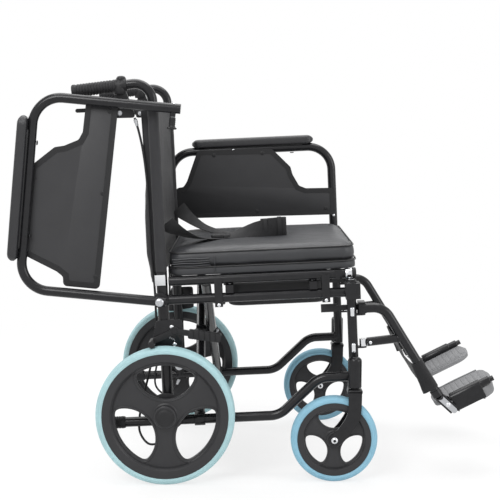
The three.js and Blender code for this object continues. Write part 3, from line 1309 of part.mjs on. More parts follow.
// Two bars on the lower rails with feet at their ends, and the two channels that the pan slides in.
function panCarrier() {
  const railTop = LOWER_RAIL_HEIGHT + TUBE_RADIUS + FIT;
  const barLow = railTop + CARRIER_BAR_LIFT;
  const barHigh = barLow + CARRIER_BAR_THICKNESS;
  const end = SIDE_Y + CARRIER_FOOT_WIDTH / 2;
  const flange = PAN_HALF_WIDTH + PAN_FLANGE + FIT;
  const lipTop = PAN_RIM_HEIGHT - PAN_FLANGE_THICKNESS - FIT;
  const parts = [];
  for (const place of CARRIER_BAR_PLACES) {
    const [from, to] = [place - CARRIER_BAR_LENGTH / 2, place + CARRIER_BAR_LENGTH / 2];
    parts.push(block([from, -end, barLow], [to, end, barHigh]));
    for (const way of [-1, 1]) {
      const sides = [way * (end - CARRIER_FOOT_WIDTH), way * end].sort((p, q) => p - q);
      parts.push(block([from, sides[0], railTop], [to, sides[1], barHigh]));
    }
  }
  for (const way of [-1, 1]) {
    const wall = [way * flange, way * (flange + RUNNER_WALL)].sort((p, q) => p - q);
    const lip = [way * (flange - RUNNER_LIP), way * (flange + RUNNER_WALL)].sort((p, q) => p - q);
    parts.push(block([PAN_REAR, wall[0], lipTop - RUNNER_WALL], [PAN_REAR + PAN_LENGTH, wall[1], barHigh]));
    parts.push(block([PAN_REAR, lip[0], lipTop - RUNNER_WALL], [PAN_REAR + PAN_LENGTH, lip[1], lipTop]));
  }
  return carve(parts);
}

// Cloth slung between the canes, with a pocket behind and sleeves round the canes.
function backUpholstery() {
  const rings = [];
  for (let level = 0; level <= BACK_LEVELS; level += 1) {
    const height = BACK_BOTTOM + ((BACK_TOP - BACK_BOTTOM) * level) / BACK_LEVELS;
    const pocket = THREE.MathUtils.clamp((BACK_POCKET_TOP - height) / (BACK_POCKET_TOP - BACK_BOTTOM), 0, 1);
    const fold = BACK_FOLD * Math.sin((level / BACK_LEVELS) * Math.PI * BACK_FOLDS);
    const front = [];
    const rear = [];
    for (let i = 0; i <= BACK_ACROSS; i += 1) {
      const y = -SIDE_Y + (2 * SIDE_Y * i) / BACK_ACROSS;
      const dip = 1 - (y / SIDE_Y) ** 2;
      const face = UPRIGHT_PLACE + BACK_FRONT - (BACK_SAG + fold) * dip;
      const bulge = Math.abs(y) < BACK_POCKET_HALF_WIDTH
        ? BACK_POCKET_DEPTH * Math.sqrt(Math.max(Math.sin(Math.PI * Math.sqrt(pocket)), 0)) : 0;
      front.push([face, y, height]);
      rear.unshift([face - BACK_PANEL_THICKNESS - bulge, y, height]);
    }
    rings.push([...front, ...rear]);
  }
  const middle = UPRIGHT_PLACE + BACK_FRONT - BACK_SAG - BACK_PANEL_THICKNESS / 2;
  const cloth = skin(rings, [middle, 0, BACK_BOTTOM], [middle, 0, BACK_TOP]);
  const parts = [cloth];
  const cuts = [];
  for (const way of [-1, 1]) {
    const sleeveLow = UPRIGHT_TOP + OVERRUN;
    parts.push(rod([UPRIGHT_PLACE, way * SIDE_Y, sleeveLow], [UPRIGHT_PLACE, way * SIDE_Y, BACK_TOP],
      BACK_SLEEVE_RADIUS));
    cuts.push(cutter([UPRIGHT_PLACE, way * SIDE_Y, sleeveLow - OVERRUN / 2],
      [UPRIGHT_PLACE, way * SIDE_Y, BACK_TOP + OVERRUN], TUBE_RADIUS + FIT));
    cuts.push(cutter([UPRIGHT_PLACE, way * SIDE_Y, BACK_BOTTOM - OVERRUN],
      [UPRIGHT_PLACE, way * SIDE_Y, sleeveLow], UPRIGHT_RADIUS + OVERRUN));
  }
  return carve(parts, cuts);
}

// Legrest, in lengths from its hinge pin; the slope runs down and forward from the upper corner.
const SLOPE = [Math.cos(HANGER_FALL), -Math.sin(HANGER_FALL)];
const BEHIND = [SLOPE[1], -SLOPE[0]];

function onSlope(along, behind = 0) {
  return [
    HANGER_CORNER + SLOPE[0] * along + BEHIND[0] * behind,
    HANGER_HEIGHT + SLOPE[1] * along + BEHIND[1] * behind,
  ];
}

function withY([x, z], y) {
  return [x, y, z];
}

function legrestHanger() {
  const end = onSlope(HANGER_SLOPE_LENGTH);
  const strutEnd = onSlope((HANGER_HEIGHT - STRUT_HEIGHT - STRUT_RISE) / Math.sin(HANGER_FALL));
  const plateLow = HANGER_HEIGHT + TUBE_RADIUS;
  const plateHigh = plateLow + LATCH_PLATE_THICKNESS;
  const latchPinLow = HANGER_HEIGHT - LATCH_HEIGHT / 2;
  return carve([
    pipe([[0, 0, HANGER_HEIGHT], withY(onSlope(0), 0), withY(end, 0)], TUBE_RADIUS, HANGER_BEND_RADIUS),
    rod([0, 0, HANGER_HEIGHT - TUBE_RADIUS], [0, 0, HANGER_HEIGHT + TUBE_RADIUS], TUBE_RADIUS),
    rod([STRUT_START, 0, STRUT_HEIGHT], withY(strutEnd, 0), STRUT_RADIUS),
    rod([0, 0, STRUT_HEIGHT], [STRUT_START + OVERRUN, 0, STRUT_HEIGHT], STRUT_EYE_RADIUS - FIT * 2,
      THIN_SIDES),
    rod([0, 0, STRUT_HEIGHT - STRUT_EYE_LENGTH / 2], [0, 0, STRUT_HEIGHT + STRUT_EYE_LENGTH / 2],
      STRUT_EYE_RADIUS),
    block([-STRUT_EYE_RADIUS, -LATCH_OFFSET - LATCH_EYE_RADIUS, plateLow - FIT],
      [STRUT_EYE_RADIUS, STRUT_EYE_RADIUS, plateHigh]),
    rod([0, -LATCH_OFFSET, latchPinLow], [0, -LATCH_OFFSET, plateHigh], LATCH_PIN_RADIUS, THIN_SIDES),
  ], [
    cutter([0, 0, STRUT_HEIGHT - STRUT_EYE_LENGTH], [0, 0, HANGER_HEIGHT + TUBE_RADIUS - FIT * 2],
      HINGE_PIN_RADIUS + FIT),
    cutter(withY(onSlope(HANGER_SLOPE_LENGTH - EXTENSION_OVERLAP - FIT), 0),
      withY(onSlope(HANGER_SLOPE_LENGTH + OVERRUN), 0), HANGER_BORE_RADIUS),
  ]);
}

function legrestLatch() {
  const low = HANGER_HEIGHT - LATCH_HEIGHT / 2;
  const high = HANGER_HEIGHT + LATCH_HEIGHT / 2 - FIT;
  const half = LATCH_THICKNESS / 2;
  return carve([
    rod([0, 0, low], [0, 0, high], LATCH_EYE_RADIUS),
    block([-LATCH_REACH + LATCH_PADDLE_LENGTH - OVERRUN, -half, low], [0, half, high]),
    block(
      [-LATCH_REACH, -LATCH_THICKNESS, HANGER_HEIGHT - LATCH_PADDLE_HEIGHT / 2],
      [-LATCH_REACH + LATCH_PADDLE_LENGTH, half, HANGER_HEIGHT + LATCH_PADDLE_HEIGHT / 2],
    ),
  ], [
    cutter([0, 0, low - OVERRUN], [0, 0, high + OVERRUN], LATCH_PIN_RADIUS + FIT, THIN_SIDES),
  ]);
}

// The footplate's spindle runs forward and up from its start.
const SPINDLE_WAY = [Math.cos(FOOT_TILT), Math.sin(FOOT_TILT)];

function legExtension() {
  const top = onSlope(HANGER_SLOPE_LENGTH - EXTENSION_OVERLAP);
  const mouth = onSlope(HANGER_SLOPE_LENGTH + FIT);
  const end = onSlope(HANGER_SLOPE_LENGTH + EXTENSION_COLLAR_LENGTH);
  const spindleEnd = [
    FOOT_START[0] + SPINDLE_WAY[0] * SPINDLE_LENGTH, FOOT_START[1] + SPINDLE_WAY[1] * SPINDLE_LENGTH,
  ];
  const stripEnd = [FOOT_START[0] + FOOT_STRIP_WIDTH / 2, FOOT_START[1] - FOOT_STRIP_DROP + FOOT_STRIP_WIDTH];
  return carve([
    rod(withY(top, 0), withY(end, 0), EXTENSION_RADIUS),
    rod(withY(mouth, 0), withY(end, 0), EXTENSION_COLLAR),
    rod(withY(end, 0), withY(FOOT_START, -FOOT_INSET), EXTENSION_RADIUS),
    rod(withY(FOOT_START, -FOOT_INSET), withY(spindleEnd, -FOOT_INSET), SPINDLE_RADIUS),
    slab(strip(end, stripEnd, FOOT_STRIP_WIDTH / 2), -FOOT_STRIP_THICKNESS, 0),
  ]);
}

// The footplate about its spindle: +X along it, -Y inward over the foot's width, +Z up from the plate.
function footplate() {
  const high = -PLATE_SINK;
  const low = high - PLATE_THICKNESS;
  const from = -PLATE_HEEL;
  const to = BARREL_LENGTH + PLATE_TOE;
  const plan = rounded([[from, -PLATE_WIDTH], [to, -PLATE_WIDTH], [to, 0], [from, 0]], PLATE_CORNER, 6);
  const shape = new THREE.Shape(plan.map(([x, y]) => new THREE.Vector2(x, y)));
  const plate = new THREE.ExtrudeGeometry(shape, { depth: PLATE_THICKNESS, bevelEnabled: false })
    .translate(0, 0, low);
  const cuts = [
    cutter([from - OVERRUN, 0, 0], [to + OVERRUN, 0, 0], SPINDLE_RADIUS + FIT),
    block([from - OVERRUN, -BARREL_RADIUS, low - OVERRUN], [0, BARREL_RADIUS, BARREL_RADIUS]),
    block([BARREL_LENGTH, -BARREL_RADIUS, low - OVERRUN], [to + OVERRUN, BARREL_RADIUS, BARREL_RADIUS]),
  ];
  const firstGroove = -PLATE_WIDTH + PLATE_LIP * 2 + PLATE_GROOVE_PITCH / 2;
  for (let i = 0; i < PLATE_GROOVES; i += 1) {
    const y = firstGroove + i * PLATE_GROOVE_PITCH;
    cuts.push(block(
      [from + PLATE_CORNER / 2, y - PLATE_GROOVE_WIDTH / 2, high - PLATE_GROOVE_DEPTH],
      [to - PLATE_CORNER / 2, y + PLATE_GROOVE_WIDTH / 2, high + OVERRUN],
    ));
  }
  const barrel = rod([0, 0, 0], [BARREL_LENGTH, 0, 0], BARREL_RADIUS);
  const skirt = block([0, BARREL_RADIUS - SKIRT_THICKNESS, -SKIRT_DEPTH], [BARREL_LENGTH, BARREL_RADIUS, 0]);
  const lip = block(
    [from + PLATE_CORNER, -PLATE_WIDTH, low],
    [to - PLATE_CORNER, -PLATE_WIDTH + PLATE_LIP, high + PLATE_LIP],
  );
  const nose = block([BARREL_LENGTH, -PLATE_WIDTH / 2, low], [to - PLATE_CORNER, -BARREL_RADIUS, high]);
  return carve([plate, barrel, skirt, lip, nose], cuts);
}

// A band behind both hangers, with a sleeve round each of them.
function calfStrap() {
  const start = STRAP_SLEEVE_START;
  const rings = [];
  const sleeves = [];
  const bores = [];
  const back = TUBE_RADIUS + FIT;
  for (let i = 0; i <= STRAP_STEPS; i += 1) {
    const y = -SIDE_Y + (2 * SIDE_Y * i) / STRAP_STEPS;
    const sag = STRAP_SAG * (1 - (y / SIDE_Y) ** 2);
    rings.push([
      [start, back + sag], [start + STRAP_WIDTH, back + sag],
      [start + STRAP_WIDTH, back + sag + STRAP_THICKNESS], [start, back + sag + STRAP_THICKNESS],
    ].map(([along, behind]) => {
      const [x, z] = onSlope(along, behind);
      return [HINGE_PLACE + x, y, z];
    }));
  }
  const middle = (y) => {
    const [x, z] = onSlope(start + STRAP_WIDTH / 2, back + STRAP_THICKNESS / 2);
    return [HINGE_PLACE + x, y, z];
  };
  for (const way of [-1, 1]) {
    const at = (along) => {
      const [x, z] = onSlope(along);
      return [HINGE_PLACE + x, way * SIDE_Y, z];
    };
    sleeves.push(rod(at(start), at(start + STRAP_WIDTH), STRAP_SLEEVE_RADIUS));
    bores.push(cutter(at(start - OVERRUN), at(start + STRAP_WIDTH + OVERRUN), TUBE_RADIUS + FIT));
  }
  return carve([skin(rings, middle(-SIDE_Y), middle(SIDE_Y)), ...sleeves], bores);
}

// A place given by its length, its width and its height above the cushion's crown.
function overCushion([x, y, rise]) {
  return [x, y, CUSHION_TOP + rise];
}

// A flat band along a route. Its face looks forward at both ends and up between them.
function beltBand(route, steps, twistShare) {
  const line = route.map(overCushion);
  const points = line.map((place) => new THREE.Vector3(...place));
  const path = new THREE.CatmullRomCurve3(points, false, 'centripetal');
  const rings = [];
  for (let i = 0; i <= steps; i += 1) {
    const share = i / steps;
    const place = path.getPointAt(share);
    const way = path.getTangentAt(share);
    const flat = twistShare > 0 ? THREE.MathUtils.smoothstep(Math.min(share, 1 - share), 0, twistShare) : 1;
    const face = new THREE.Vector3(1 - flat, 0, flat).normalize();
    const side = face.cross(way).normalize();
    const up = way.clone().cross(side).normalize();
    rings.push([[-1, -1], [1, -1], [1, 1], [-1, 1]].map(([s, u]) => place.clone()
      .addScaledVector(side, (s * BELT_WIDTH) / 2)
      .addScaledVector(up, (u * BELT_THICKNESS) / 2)
      .toArray()));
  }
  return skin(rings, line[0], line[line.length - 1]);
}

// The lap belt: a band from cane to cane over the cushion, its buckle and its loose looped tail.
function lapBelt() {
  const half = [BUCKLE_LENGTH / 2 - BUCKLE_ROUND, BUCKLE_WIDTH / 2 - BUCKLE_ROUND];
  const [x, y, z] = overCushion(BUCKLE_PLACE);
  const plan = new THREE.Shape([
    [x - half[0], y - half[1]], [x + half[0], y - half[1]], [x + half[0], y + half[1]],
    [x - half[0], y + half[1]],
  ].map(([px, py]) => new THREE.Vector2(px, py)));
  const buckle = new THREE.ExtrudeGeometry(plan, {
    depth: BUCKLE_HEIGHT - BUCKLE_ROUND * 2, bevelSize: BUCKLE_ROUND, bevelThickness: BUCKLE_ROUND,
    bevelSegments: 2,
  }).translate(0, 0, z - BUCKLE_HEIGHT / 2 + BUCKLE_ROUND);
  const strap = beltBand(BELT_ROUTE, BELT_STEPS, BELT_TWIST_SHARE);
  return carve([strap, beltBand(BELT_TAIL, BELT_TAIL_STEPS, 0), buckle]);
}

// Looks: colour, roughness and metalness
const GLOSS_BLACK = look(0x151517, 0.3, 0.1);
const BLACK_PLASTIC = look(0x1c1c1e, 0.55, 0);
const RUBBER = look(0x232325, 0.8, 0);
const CHROME = look(0xc9cccf, 0.18, 1);
const STEEL = look(0x9a9da1, 0.4, 1);
const PANEL_GREY = look(0x444446, 0.6, 0);
const VINYL = look(0x3a3a3d, 0.5, 0);
const WEBBING = look(0x1d1d1f, 0.85, 0);
const PLATE_GREY = look(0x7f8183, 0.5, 0.2);
const RIM_GREY = look(0x3a3a3c, 0.5, 0.1);
const TEAL_TYRE = look(0x9dbabf, 0.7, 0);
const BLUE_TYRE = look(0x7fb2cc, 0.65, 0);

function holder(parent, x, y, z) {
  const group = new THREE.Group();
  group.position.set(x, y, z);
  parent.add(group);
  return group;
}

const chair = new THREE.Group();
const frame = holder(chair, 0, 0, REAR_RADIUS);
frame.rotation.y = -RAKE;

function piece(parent, name, geometry, material) {
  const mesh = new THREE.Mesh(geometry, material);
  mesh.name = name;
  parent.add(mesh);
  return mesh;
}

const SHAPES = {
  side_frame: sideFrameWithFittings(), back_cane: backCane(), push_grip: pushGrip(),
  brake_clamp: brakeClamp(), brake_lever: brakeLever(), brake_cable: brakeCable(), tip_cap: tipCap(),
  post_plug: postPlug(), rear_axle: rearAxle(), rear_rim: rearRim(),
  rear_tyre: tyre(REAR_RADIUS, REAR_TYRE_WIDTH, REAR_TYRE_SHOULDER, REAR_RIM_RADIUS, REAR_SEGMENTS),
  caster_fork: casterFork(), caster_axle: casterAxle(), caster_rim: casterRim(),
  caster_tyre: tyre(CASTER_RADIUS, CASTER_TYRE_WIDTH, CASTER_TYRE_SHOULDER, CASTER_RIM_RADIUS,
    CASTER_SEGMENTS),
  arm_tube: armTube(), arm_pad: armPad(), arm_panel: armPanel(), arm_plunger: armPlunger(),
  wheel_lock_bracket: wheelLockBracket(), wheel_lock_lever: wheelLockLever(),
  legrest_hanger: legrestHanger(), legrest_latch: legrestLatch(), leg_extension: legExtension(),
  footplate: footplate(),
};

for (const [side, way] of [['left', 1], ['right', -1]]) {
  const add = (parent, name, material) => piece(
    parent, `${side}_${name}`, way > 0 ? SHAPES[name] : mirrored(SHAPES[name]), material,
  );
  add(frame, 'side_frame', GLOSS_BLACK);
  add(frame, 'back_cane', GLOSS_BLACK);
  add(frame, 'push_grip', RUBBER);
  add(frame, 'brake_clamp', BLACK_PLASTIC);
  add(frame, 'brake_lever', BLACK_PLASTIC);
  add(frame, 'brake_cable', RUBBER);
  add(frame, 'tip_cap', RUBBER);
  add(frame, 'post_plug', CHROME);
  const lock = holder(frame, 0, way * SIDE_Y, 0);
  add(lock, 'wheel_lock_bracket', STEEL);
  const lockLever = holder(lock, LOCK_PIVOT_PLACE, 0, LOCK_PIVOT_HEIGHT);
  add(lockLever, 'wheel_lock_lever', BLACK_PLASTIC);
  const arm = holder(frame, 0, way * ARM_Y, ARM_PIVOT_HEIGHT);
  if (side === 'right') arm.rotation.y = -ARM_FLIP;
  add(arm, 'arm_tube', GLOSS_BLACK);
  add(arm, 'arm_pad', VINYL);
  add(arm, 'arm_panel', PANEL_GREY);
  const plunger = holder(arm, ARM_FRONT, 0, PLUNGER_HEIGHT);
  add(plunger, 'arm_plunger', STEEL);
  const legrest = holder(frame, HINGE_PLACE, way * SIDE_Y, 0);
  add(legrest, 'legrest_hanger', GLOSS_BLACK);
  const latch = holder(legrest, 0, -way * LATCH_OFFSET, 0);
  add(latch, 'legrest_latch', BLACK_PLASTIC);
  add(legrest, 'leg_extension', STEEL);
  const foot = holder(legrest, FOOT_START[0] + SPINDLE_WAY[0] * SPINDLE_STUB, -way * FOOT_INSET,
    FOOT_START[1] + SPINDLE_WAY[1] * SPINDLE_STUB);
  foot.rotation.y = -FOOT_TILT;
  add(foot, 'footplate', PLATE_GREY);
  const wheel = holder(chair, 0, way * WHEEL_Y, REAR_RADIUS);
  add(wheel, 'rear_axle', STEEL);
  add(wheel, 'rear_rim', RIM_GREY);
  add(wheel, 'rear_tyre', TEAL_TYRE);
  const caster = holder(chair, CASTER_STEM_PLACE, way * POST_HOUSING_Y, CASTER_RADIUS);
  add(caster, 'caster_fork', GLOSS_BLACK);
  const casterWheel = holder(caster, -CASTER_TRAIL, 0, 0);
  add(casterWheel, 'caster_axle', CHROME);
  add(casterWheel, 'caster_rim', RIM_GREY);
  add(casterWheel, 'caster_tyre', BLUE_TYRE);
}

piece(frame, 'brace_a', brace(BRACE_A_PLACE, 1, 1), GLOSS_BLACK);
piece(frame, 'brace_b', brace(BRACE_A_PLACE + BRACE_STEP, -1, -1), GLOSS_BLACK);
piece(frame, 'brace_pivot', bracePivot(), CHROME);
piece(frame, 'pan_carrier', panCarrier(), BLACK_PLASTIC);
piece(frame, 'commode_pan', commodePan(), BLACK_PLASTIC);
piece(frame, 'seat_cushion', seatCushion(), VINYL);
piece(frame, 'back_upholstery', backUpholstery(), VINYL);
piece(frame, 'calf_strap', calfStrap(), WEBBING);
piece(frame, 'lap_belt', lapBelt(), WEBBING);

// The chair's middle, between its rearmost and foremost points, stands over the origin.
chair.updateMatrixWorld(true);
const reach = new THREE.Box3().setFromObject(chair, true);
const object = new THREE.Group();
object.add(chair);
chair.position.x = -(reach.min.x + reach.max.x) / 2;

export default object;
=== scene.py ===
import json
import math
from itertools import accumulate

import bmesh
import bpy
from mathutils import Matrix, Vector, noise

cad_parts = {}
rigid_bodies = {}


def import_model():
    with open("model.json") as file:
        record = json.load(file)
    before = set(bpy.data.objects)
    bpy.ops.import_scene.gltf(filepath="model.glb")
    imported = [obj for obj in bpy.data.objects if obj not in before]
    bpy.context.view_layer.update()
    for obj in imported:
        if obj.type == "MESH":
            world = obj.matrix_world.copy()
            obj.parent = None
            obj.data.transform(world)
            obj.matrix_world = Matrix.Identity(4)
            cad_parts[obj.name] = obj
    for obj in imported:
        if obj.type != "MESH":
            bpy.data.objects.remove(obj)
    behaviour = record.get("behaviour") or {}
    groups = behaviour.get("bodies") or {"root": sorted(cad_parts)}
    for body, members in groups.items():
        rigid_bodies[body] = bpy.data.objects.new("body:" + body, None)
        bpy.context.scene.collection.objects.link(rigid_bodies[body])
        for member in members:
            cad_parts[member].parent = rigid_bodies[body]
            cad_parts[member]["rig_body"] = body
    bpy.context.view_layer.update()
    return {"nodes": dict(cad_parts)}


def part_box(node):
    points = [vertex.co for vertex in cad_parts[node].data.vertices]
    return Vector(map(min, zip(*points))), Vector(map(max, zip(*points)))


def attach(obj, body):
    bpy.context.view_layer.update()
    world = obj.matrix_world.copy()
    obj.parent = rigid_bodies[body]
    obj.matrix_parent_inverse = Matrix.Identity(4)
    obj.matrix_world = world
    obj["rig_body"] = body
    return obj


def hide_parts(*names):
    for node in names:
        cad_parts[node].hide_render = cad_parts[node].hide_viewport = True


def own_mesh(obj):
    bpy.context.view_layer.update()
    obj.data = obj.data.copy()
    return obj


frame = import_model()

MM = 0.001

# The raked frame's own place: its origin is the rear axle, lengths run forward and heights up.
axle_low, axle_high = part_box("right_rear_axle")
AXLE_X = (axle_low.x + axle_high.x) / 2
AXLE_Z = (axle_low.z + axle_high.z) / 2
RAKE = math.radians(2.6)
LEVEL = Matrix.Translation((AXLE_X, 0, AXLE_Z)) @ Matrix.Scale(MM, 4)
FRAME = LEVEL @ Matrix.Rotation(-RAKE, 4, "Y")

SIDES = {"right": -1, "left": 1}

# Driving sizes in millimetres, all but the skin taken over from the CAD source
TUBE = 11
STOUT_TUBE = 12.5
TUBE_SKIN = 0.12                    # how far a smooth tube stands over the faceted one
WHEEL_RADIUS = 157.5
CASTER_RADIUS = 99
CASTER_LIFT = CASTER_RADIUS - WHEEL_RADIUS
CASTER_TRAIL = 46.3
ARM_FLIP = math.radians(82)
ARM_REACH = 434.7                   # from the armrest's pin to its front leg
ARM_TOP = 317                       # above that pin
CUSHION_HALF_LENGTH = 216

# How far out each one lies from the chair's middle
SIDE_Y = 235
WHEEL_Y = 280
CASTER_Y = 261
ARM_Y = 267
CUSHION_HALF_WIDTH = 241

# Lengths forward of the rear axle
TIP = -128
UPRIGHT = 4
CUSHION_MIDDLE = 234
CASTER_STEM = 429.3
POST = 434
HINGE_PLACE = 457

# Heights over the rear axle
BOTTOM_RAIL = -24
STAY = 60
ARM_RAIL = 255.5
ARM_PIVOT = 258
POST_TOP = 276
SEAT_RAIL = 298.5
CUSHION_TOP = 371.15

# Lengths and heights together
CANE_BEND = (4, 752)
CANE_END = (-172, 738.45)

# Directions in the chair's own lengths, widths and heights
X, Y, Z = Vector((1, 0, 0)), Vector((0, 1, 0)), Vector((0, 0, 1))

# The camera, solved from the two wheel pairs in the photograph: millimetres from the axle and the floor
CAMERA_PLACE = (191.25, -2790.78, 833.61)
CAMERA_PITCH = math.radians(5)
CAMERA_SENSOR = 36
CAMERA_LENS = 81.46
CAMERA_SHIFT = -0.0716

# The studio: each lamp's place in metres, its size and its watts
LAMP_AIM = (0, 0, 0.45)
LAMPS = {
    "key": ((-1.2, -2.6, 2.6), 1.6, 62),
    "front": ((2.8, -1.4, 1.5), 1.6, 30),
    "top": ((0, 0.4, 2.8), 2.4, 60),
    "rim": ((-2.4, 1.8, 1.9), 1.4, 28),
}
FLOOR_CORNERS = [(-6, -4, 0), (6, -4, 0), (6, 6, 0), (-6, 6, 0)]
FLOOR_FADE = (0.7, 1.9, 0.74, 1.0)  # from and to metres, and how far it glows there
SKY = 0.42


def placed(name, data):
    """A new object in the scene."""
    made = bpy.data.objects.new(name, data)
    bpy.context.scene.collection.objects.link(made)
    return made


def camera():
    data = bpy.data.cameras.new("camera")
    data.sensor_width = CAMERA_SENSOR
    data.lens = CAMERA_LENS
    data.shift_y = CAMERA_SHIFT
    viewer = placed("camera", data)
    x, y, z = CAMERA_PLACE
    viewer.location = (AXLE_X + x * MM, y * MM, z * MM)
    viewer.rotation_euler = (math.pi / 2 - CAMERA_PITCH, 0, 0)
    bpy.context.scene.camera = viewer


def lights():
    for name, (place, size, watts) in LAMPS.items():
        data = bpy.data.lights.new(name, "AREA")
        data.size = size
        data.energy = watts
        light = placed(name, data)
        light.location = place
        light.rotation_euler = (Vector(LAMP_AIM) - Vector(place)).to_track_quat("-Z", "Y").to_euler()


# A look's slot has the look's own name, apart from these
SLOTS = {
    "pad_vinyl": "black_vinyl", "piping_vinyl": "black_vinyl", "back_cloth": "black_vinyl",
    "strap_cloth": "webbing", "panel_hem": "grey_panel", "blank_label": "grey_panel",
}
slot_of = {}                        # by the material's own name


class Wire:
    """A shader value. Sums and products of wires and numbers add their own Math nodes."""

    def __init__(self, look, socket):
        self.look = look
        self.socket = socket

    def maths(self, operation, *values):
        return self.look.node("ShaderNodeMath", {"operation": operation}, self, *values)

    def __add__(self, other):
        return self.maths("ADD", other)

    def __mul__(self, other):
        return self.maths("MULTIPLY", other)

    def sine(self):
        return self.maths("SINE")


class Look:
    """A material: fixed values on the shader's own sockets, and wires for what changes over the surface."""

    def __init__(self, name, colour, rough, metal=0.0, coat=0.0, sheen=0.0, level=0.5):
        self.material = bpy.data.materials.new(name)
        self.material.use_nodes = True
        self.material.diffuse_color = (*colour, 1)
        self.tree = self.material.node_tree
        slot_of[self.material.name] = SLOTS.get(name, name)
        self.shader = self.tree.nodes["Principled BSDF"]
        self.colour = colour
        self.heights = []
        fixed = {
            "Base Color": (*colour, 1), "Roughness": rough, "Metallic": metal, "Specular IOR Level": level,
            "Coat Weight": coat, "Coat Roughness": 0.1, "Sheen Weight": sheen,
        }
        for socket, value in fixed.items():
            self.shader.inputs[socket].default_value = value

    def feed(self, socket, wire):
        self.tree.links.new(wire.socket, self.shader.inputs[socket])

    def node(self, kind, settings, *values, output=0):
        """One node: its settings first, then a value or a wire for each of its sockets in turn."""
        made = self.tree.nodes.new(kind)
        for key, setting in settings.items():
            setattr(made, key, setting)
        sockets = [s for s in made.inputs if s.enabled]
        for socket, value in zip(sockets, values):
            if isinstance(value, Wire):
                self.tree.links.new(value.socket, socket)
            elif value is not None:
                socket.default_value = value
        return Wire(self, [s for s in made.outputs if s.enabled][output])

    def place(self, output=3):
        """The spot on the piece itself, or on its UV map with output=2."""
        return self.node("ShaderNodeTexCoord", {}, output=output)

    def along(self, index, output=3):
        return self.node("ShaderNodeSeparateXYZ", {}, self.place(output), output=index)

    def noise(self, scale, detail=2.0, rough=0.5, vector=None):
        return self.node("ShaderNodeTexNoise", {}, vector or self.place(), scale, detail, rough)

    def shade(self, share, darker, lighter):
        """Base colour between two brightnesses of the look's own colour."""
        made = self.tree.nodes.new("ShaderNodeMix")
        made.data_type = "RGBA"
        sockets = {s.identifier: s for s in (*made.inputs, *made.outputs)}
        self.tree.links.new(share.socket, sockets["Factor_Float"])
        sockets["A_Color"].default_value = (*(c * darker for c in self.colour), 1)
        sockets["B_Color"].default_value = (*(min(1, c * lighter) for c in self.colour), 1)
        self.feed("Base Color", Wire(self, sockets["Result_Color"]))

    def wear(self, share, low, high):
        """Roughness between two values."""
        self.feed("Roughness", share * (high - low) + low)

    def bump(self, height, distance):
        """Adds a height, in metres at full value, to the surface."""
        self.heights.append(height * distance)

    def done(self):
        if self.heights:
            total = self.heights[0]
            for height in self.heights[1:]:
                total = total + height
            made = self.tree.nodes.new("ShaderNodeBump")
            made.inputs["Distance"].default_value = 1.0
            self.tree.links.new(total.socket, made.inputs["Height"])
            self.feed("Normal", Wire(self, made.outputs["Normal"]))
        return self.material


# Looks. Noise scales are in turns per metre, bump heights in metres.
def mottled(name, colour, rough, shade, wear, bump=None, **more):
    """A look that follows noises, each given as its scale, detail and roughness, then its two values."""
    look = Look(name, colour, rough, **more)
    look.shade(look.noise(*shade[:-2]), *shade[-2:])
    look.wear(look.noise(*wear[:-2]), *wear[-2:])
    if bump:
        look.bump(look.noise(*bump[:-1]), bump[-1])
    return look.done()


def moulded(name, colour, rough):
    return mottled(name, colour, rough, shade=(25, 4, 0.6, 0.86, 1.16),
                   wear=(50, 3, rough - 0.08, rough + 0.1), bump=(1300, 2, 0.00005), level=0.3)


def tyre_rubber(name, colour):
    """Pale solid tyre, scuffed a little all over."""
    return mottled(name, colour, 0.6, shade=(35, 5, 0.65, 0.78, 1.12), wear=(60, 3, 0.5, 0.75),
                   bump=(600, 3, 0.0001))


def zinc():
    """Zinc-plated steel with a drawn grain along its length."""
    look = Look("bare_steel", (0.5, 0.51, 0.53), 0.36, metal=1.0)
    drawn = look.node("ShaderNodeMapping", {}, look.place(), None, None, (30, 700, 700))
    grain = look.noise(1, 4, 0.6, drawn)
    look.shade(grain, 0.78, 1.12)
    look.wear(grain, 0.26, 0.48)
    look.bump(grain, 0.00002)
    return look.done()


def vinyl(name, colour, grain, rough):
    """Coated cloth with a fine pebble grain."""
    look = Look(name, colour, 0.45, level=0.42)
    pebbles = look.node("ShaderNodeTexVoronoi", {"feature": "DISTANCE_TO_EDGE"}, look.place(), grain)
    look.shade(look.noise(14, 4, 0.6), 0.82, 1.22)
    look.wear(look.noise(30, 3), *rough)
    look.bump(pebbles, 0.00016)
    look.bump(look.noise(45, 3), 0.0004)
    return look.done()


def webbing(name, colour):
    """Woven band: ribs across it and a twill within each rib."""
    look = Look(name, colour, 0.78, sheen=0.12, level=0.3)
    u, v = look.along(0, 2), look.along(1, 2)
    ribs = (u * 1900).sine()
    twill = ((u + v) * 2600).sine()
    weave = (ribs * 0.5 + twill * 0.3 + 0.8) * 0.6
    look.shade(weave, 0.55, 1.7)
    look.bump(weave, 0.00022)
    look.wear(look.noise(60, 2), 0.7, 0.9)
    return look.done()


def woven(name, colour, pitch):
    """Nylon cloth: a plain weave that follows the piece's own UV map, which is in metres."""
    look = Look(name, colour, 0.7, sheen=0.08, level=0.3)
    turn = 2 * math.pi / pitch
    weave = (look.along(0, 2) * turn).sine() * (look.along(1, 2) * turn).sine() * 0.5 + 0.5
    look.shade(weave * 0.5 + look.noise(9, 4, 0.6) * 0.5, 0.6, 1.5)
    look.bump(weave, 0.0001)
    look.bump(look.noise(22, 3), 0.0008)
    look.wear(look.noise(40, 2), 0.6, 0.8)
    return look.done()


